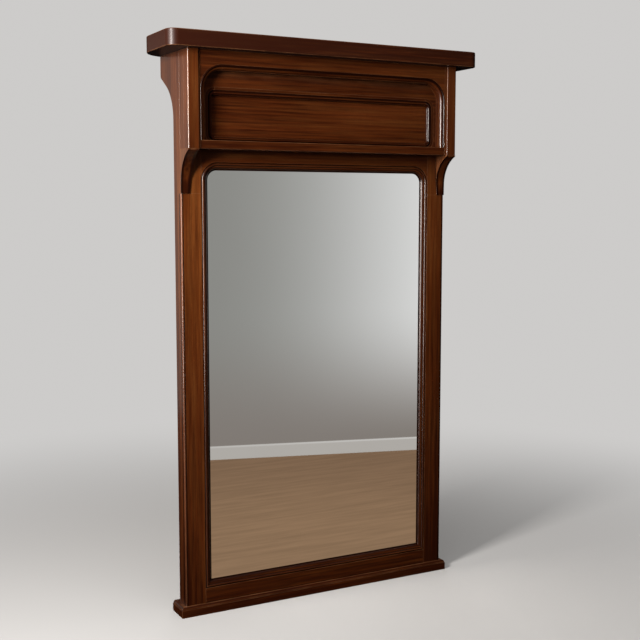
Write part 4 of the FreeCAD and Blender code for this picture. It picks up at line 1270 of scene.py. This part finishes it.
def wall_finish(studio):
    """Glowing wall for the glass, painted lighter to the right and higher up, over a pale skirting with a
    light rim.
    """
    finish = Finish("reflected wall")
    spot, top = finish.spot(), studio.skirting_top
    x, z = (finish.node("ShaderNodeSeparateXYZ", {}, {0: spot}, output=axis) for axis in "XZ")
    # Painted light: the glowing wall grows brighter to the right and, over the foot colour, higher up.
    right = x.above(0.2, 1.9)
    lit = finish.mix(right ** 1.6, studio.wall_near, studio.wall_far)
    wall = finish.mix(z.above(0.03, 0.83), studio.wall_foot, lit)
    # Painted highlight along the skirting's top, brighter to the right.
    painted_rim_highlight = z.above(top - 0.010, top - 0.005) * (0.14 + right * 0.1)
    board = finish.mix(painted_rim_highlight, studio.skirting, (1.0, 1.0, 1.0))
    finish.output(finish.glow(finish.mix(z.above(top, top + 0.004), board, wall)))
    return finish.material


def reflected_wall(studio):
    """Upright plane that only mirror rays meet, along the line where the glass shows the wall's foot."""
    start, end = np.array(studio.wall_start), np.array(studio.wall_end)
    way = unit(end - start)
    left, right, tall = start - 7.0 * way, end + 6.0 * way, 4.0 * Z_AXIS
    wall = sheet("reflected_wall", np.array((left, right, right + tall, left + tall)).tolist())
    wall.data.materials.append(wall_finish(studio))
    for rays in ("camera", "diffuse", "shadow", "transmission"):
        setattr(wall, "visible_" + rays, False)
    show_in_glass(wall)


def world_light(studio):
    """Even light from all round, dimmer where polish reflects it, and the plain backdrop for the camera."""
    world = bpy.data.worlds.new("studio")
    world.use_nodes = True
    bpy.context.scene.world = world
    finish = Finish("studio", world.node_tree)
    warm = (1.0, 0.985, 0.97)
    lights = ((studio.ground, 1.0), (warm, studio.ambient), (warm, studio.shine))
    seen, soft, dim = (finish.node("ShaderNodeBackground", {}, {"Color": shade, "Strength": power})
                       for shade, power in lights)
    unseen = finish.blend(finish.ray("Glossy"), soft, dim)
    finish.output(finish.blend(finish.ray("Camera"), unseen, seen), "World")


def camera(studio):
    """Camera at the photograph's place: right, up and back worked out from its heading and pitch."""
    heading, pitch = studio.heading, studio.pitch
    right = (math.cos(heading), -math.sin(heading), 0.0)
    up = (math.sin(heading) * math.sin(pitch), math.cos(heading) * math.sin(pitch), math.cos(pitch))
    back = (-math.sin(heading) * math.cos(pitch), -math.cos(heading) * math.cos(pitch), math.sin(pitch))
    data = bpy.data.cameras.new("photograph")
    data.sensor_width = 36.0
    data.lens = studio.lens
    made = bpy.data.objects.new("photograph", data)
    turn = Matrix((right, up, back)).transposed().to_4x4()
    made.matrix_world = Matrix.Translation(studio.eye) @ turn
    bpy.context.scene.collection.objects.link(made)
    bpy.context.scene.camera = made


# Operators

class PieceOperator:
    """What the operators share"""
    bl_options = {"REGISTER", "UNDO"}

    def execute(self, context):
        self.make()
        return {"FINISHED"}


class TRUMEAU_OT_plinth(PieceOperator, bpy.types.Operator):
    """Plinth board with its nose"""
    bl_idname = "trumeau.plinth"
    bl_label = "Plinth"

    def make(self):
        plinth()


class TRUMEAU_OT_stiles(PieceOperator, bpy.types.Operator):
    """Left and right stile"""
    bl_idname = "trumeau.stiles"
    bl_label = "Stiles"

    def make(self):
        for side in SIDES:
            stile(side)


class TRUMEAU_OT_rails(PieceOperator, bpy.types.Operator):
    """Bottom rail, the rail over the glass and the hidden top rail"""
    bl_idname = "trumeau.rails"
    bl_label = "Rails"

    def make(self):
        half = -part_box("sight_moulding_left")[0].x
        bottom_rail(half)
        low, high = corners_of("top_rail")
        place_board("top_rail_board", "top_rail", "x",
                    board_rings((-half, *low[1:]), (half, *high[1:]), "x", setting("edges").joint))
        horned_rail("mid_rail", "mid_rail_board", "sight_moulding_left", "sight_moulding_top")


class TRUMEAU_OT_sight(PieceOperator, bpy.types.Operator):
    """Beaded moulding round the glass"""
    bl_idname = "trumeau.sight"
    bl_label = "Sight moulding"

    def make(self):
        sight_moulding()


class TRUMEAU_OT_glass(PieceOperator, bpy.types.Operator):
    """Mirror glass, its backing board and the strips and pins that hold them"""
    bl_idname = "trumeau.glass"
    bl_label = "Glass and backing"

    def make(self):
        refinish("mirror_glass", "backing_board", "retainer_pins")
        for part, axis in (("left", "z"), ("right", "z"), ("top", "x"), ("bottom", "x")):
            eased_copy("retainer_" + part, axis, setting("edges").strip)


class TRUMEAU_OT_frieze(PieceOperator, bpy.types.Operator):
    """Posts, sides, stiles and rails of the frieze box"""
    bl_idname = "trumeau.frieze"
    bl_label = "Frieze box"

    def make(self):
        edges = setting("edges")
        for side in SIDES:
            post(side)
            board_piece("frieze_side_" + side_name(side), "z", edges.board)
            board_piece("frieze_stile_" + side_name(side), "z", edges.joint)
        frieze_bottom()
        horned_rail("frieze_top_rail", "frieze_top_board", "opening_bead_left", "opening_bead_top")
        board_piece("frieze_soffit", "x", edges.board)


class TRUMEAU_OT_panel(PieceOperator, bpy.types.Operator):
    """Moulding of the frieze opening, the field behind it, and the sunk panel in its ring"""
    bl_idname = "trumeau.panel"
    bl_label = "Frieze panel"

    def make(self):
        opening_moulding()
        field()
        sunk_ring()
        board_piece("frieze_panel", "x", setting("edges").board)


class TRUMEAU_OT_corbels(PieceOperator, bpy.types.Operator):
    """Left and right corbel"""
    bl_idname = "trumeau.corbels"
    bl_label = "Corbels"

    def make(self):
        for side in SIDES:
            corbel(side)


class TRUMEAU_OT_cornice(PieceOperator, bpy.types.Operator):
    """Cornice board"""
    bl_idname = "trumeau.cornice"
    bl_label = "Cornice"

    def make(self):
        cornice()


class TRUMEAU_OT_back(PieceOperator, bpy.types.Operator):
    """Return boards, hanging rail, back panel, glue blocks, keyhole plates and all screws"""
    bl_idname = "trumeau.back"
    bl_label = "Returns and back"

    def make(self):
        edges = setting("edges")
        for node, axis in (("return_board_left", "z"), ("return_board_right", "z"), ("hanging_rail", "x")):
            eased_copy(node, axis, edges.board)
        eased_copy("cornice_glue_blocks", "x", edges.strip, BARE)
        refinish("frieze_back_panel", "keyhole_plates", "keyhole_plate_screws", "plinth_screws",
                 "cornice_screws", "back_panel_screws")


class TRUMEAU_OT_stage(PieceOperator, bpy.types.Operator):
    """Floor, backdrop, what the glass reflects, lamps and camera"""
    bl_idname = "trumeau.stage"
    bl_label = "Studio"

    def make(self):
        studio = setting("studio")
        bpy.context.scene.view_settings.view_transform = "Standard"
        reach = studio.floor_reach
        corners = ((-reach, -reach), (reach, -reach), (reach, reach), (-reach, reach))
        floor = sheet("floor", [(x, y, 0.0) for x, y in corners])
        floor.data.materials.append(floor_finish(studio))
        show_in_glass(floor)
        reflected_wall(studio)
        world_light(studio)
        for name, position, target, size, power, tint, lights in LAMPS:
            lamp(name, position, target, size, getattr(studio, power), tint, lights)
        camera(studio)


OPERATORS = (
    TRUMEAU_OT_plinth, TRUMEAU_OT_stiles, TRUMEAU_OT_rails, TRUMEAU_OT_sight, TRUMEAU_OT_glass,
    TRUMEAU_OT_frieze, TRUMEAU_OT_panel, TRUMEAU_OT_corbels, TRUMEAU_OT_cornice, TRUMEAU_OT_back,
    TRUMEAU_OT_stage,
)


class TRUMEAU_PT_sidebar(bpy.types.Panel):
    """Lists the pieces and their sizes"""
    bl_idname = "TRUMEAU_PT_sidebar"
    bl_label = "Trumeau mirror"
    bl_space_type = "VIEW_3D"
    bl_region_type = "UI"
    bl_category = "Trumeau"

    def draw(self, context):
        for operator in OPERATORS:
            self.layout.operator(operator.bl_idname)
        for key in GROUPS:
            box = self.layout.box()
            group = getattr(context.scene, key)
            for name in group.bl_rna.properties.keys():
                if name not in ("rna_type", "name"):
                    box.prop(group, name)


CLASSES = tuple(GROUPS.values()) + OPERATORS + (TRUMEAU_PT_sidebar,)


def register():
    for made in CLASSES:
        bpy.utils.register_class(made)
    for key, group in GROUPS.items():
        setattr(bpy.types.Scene, key, bpy.props.PointerProperty(type=group))


def unregister():
    for key in GROUPS:
        delattr(bpy.types.Scene, key)
    for made in reversed(CLASSES):
        bpy.utils.unregister_class(made)


def main():
    register()
    for operator in OPERATORS:
        name = operator.bl_idname.split(".")[1]
        getattr(bpy.ops.trumeau, name)()


if __name__ == "__main__":
    main()
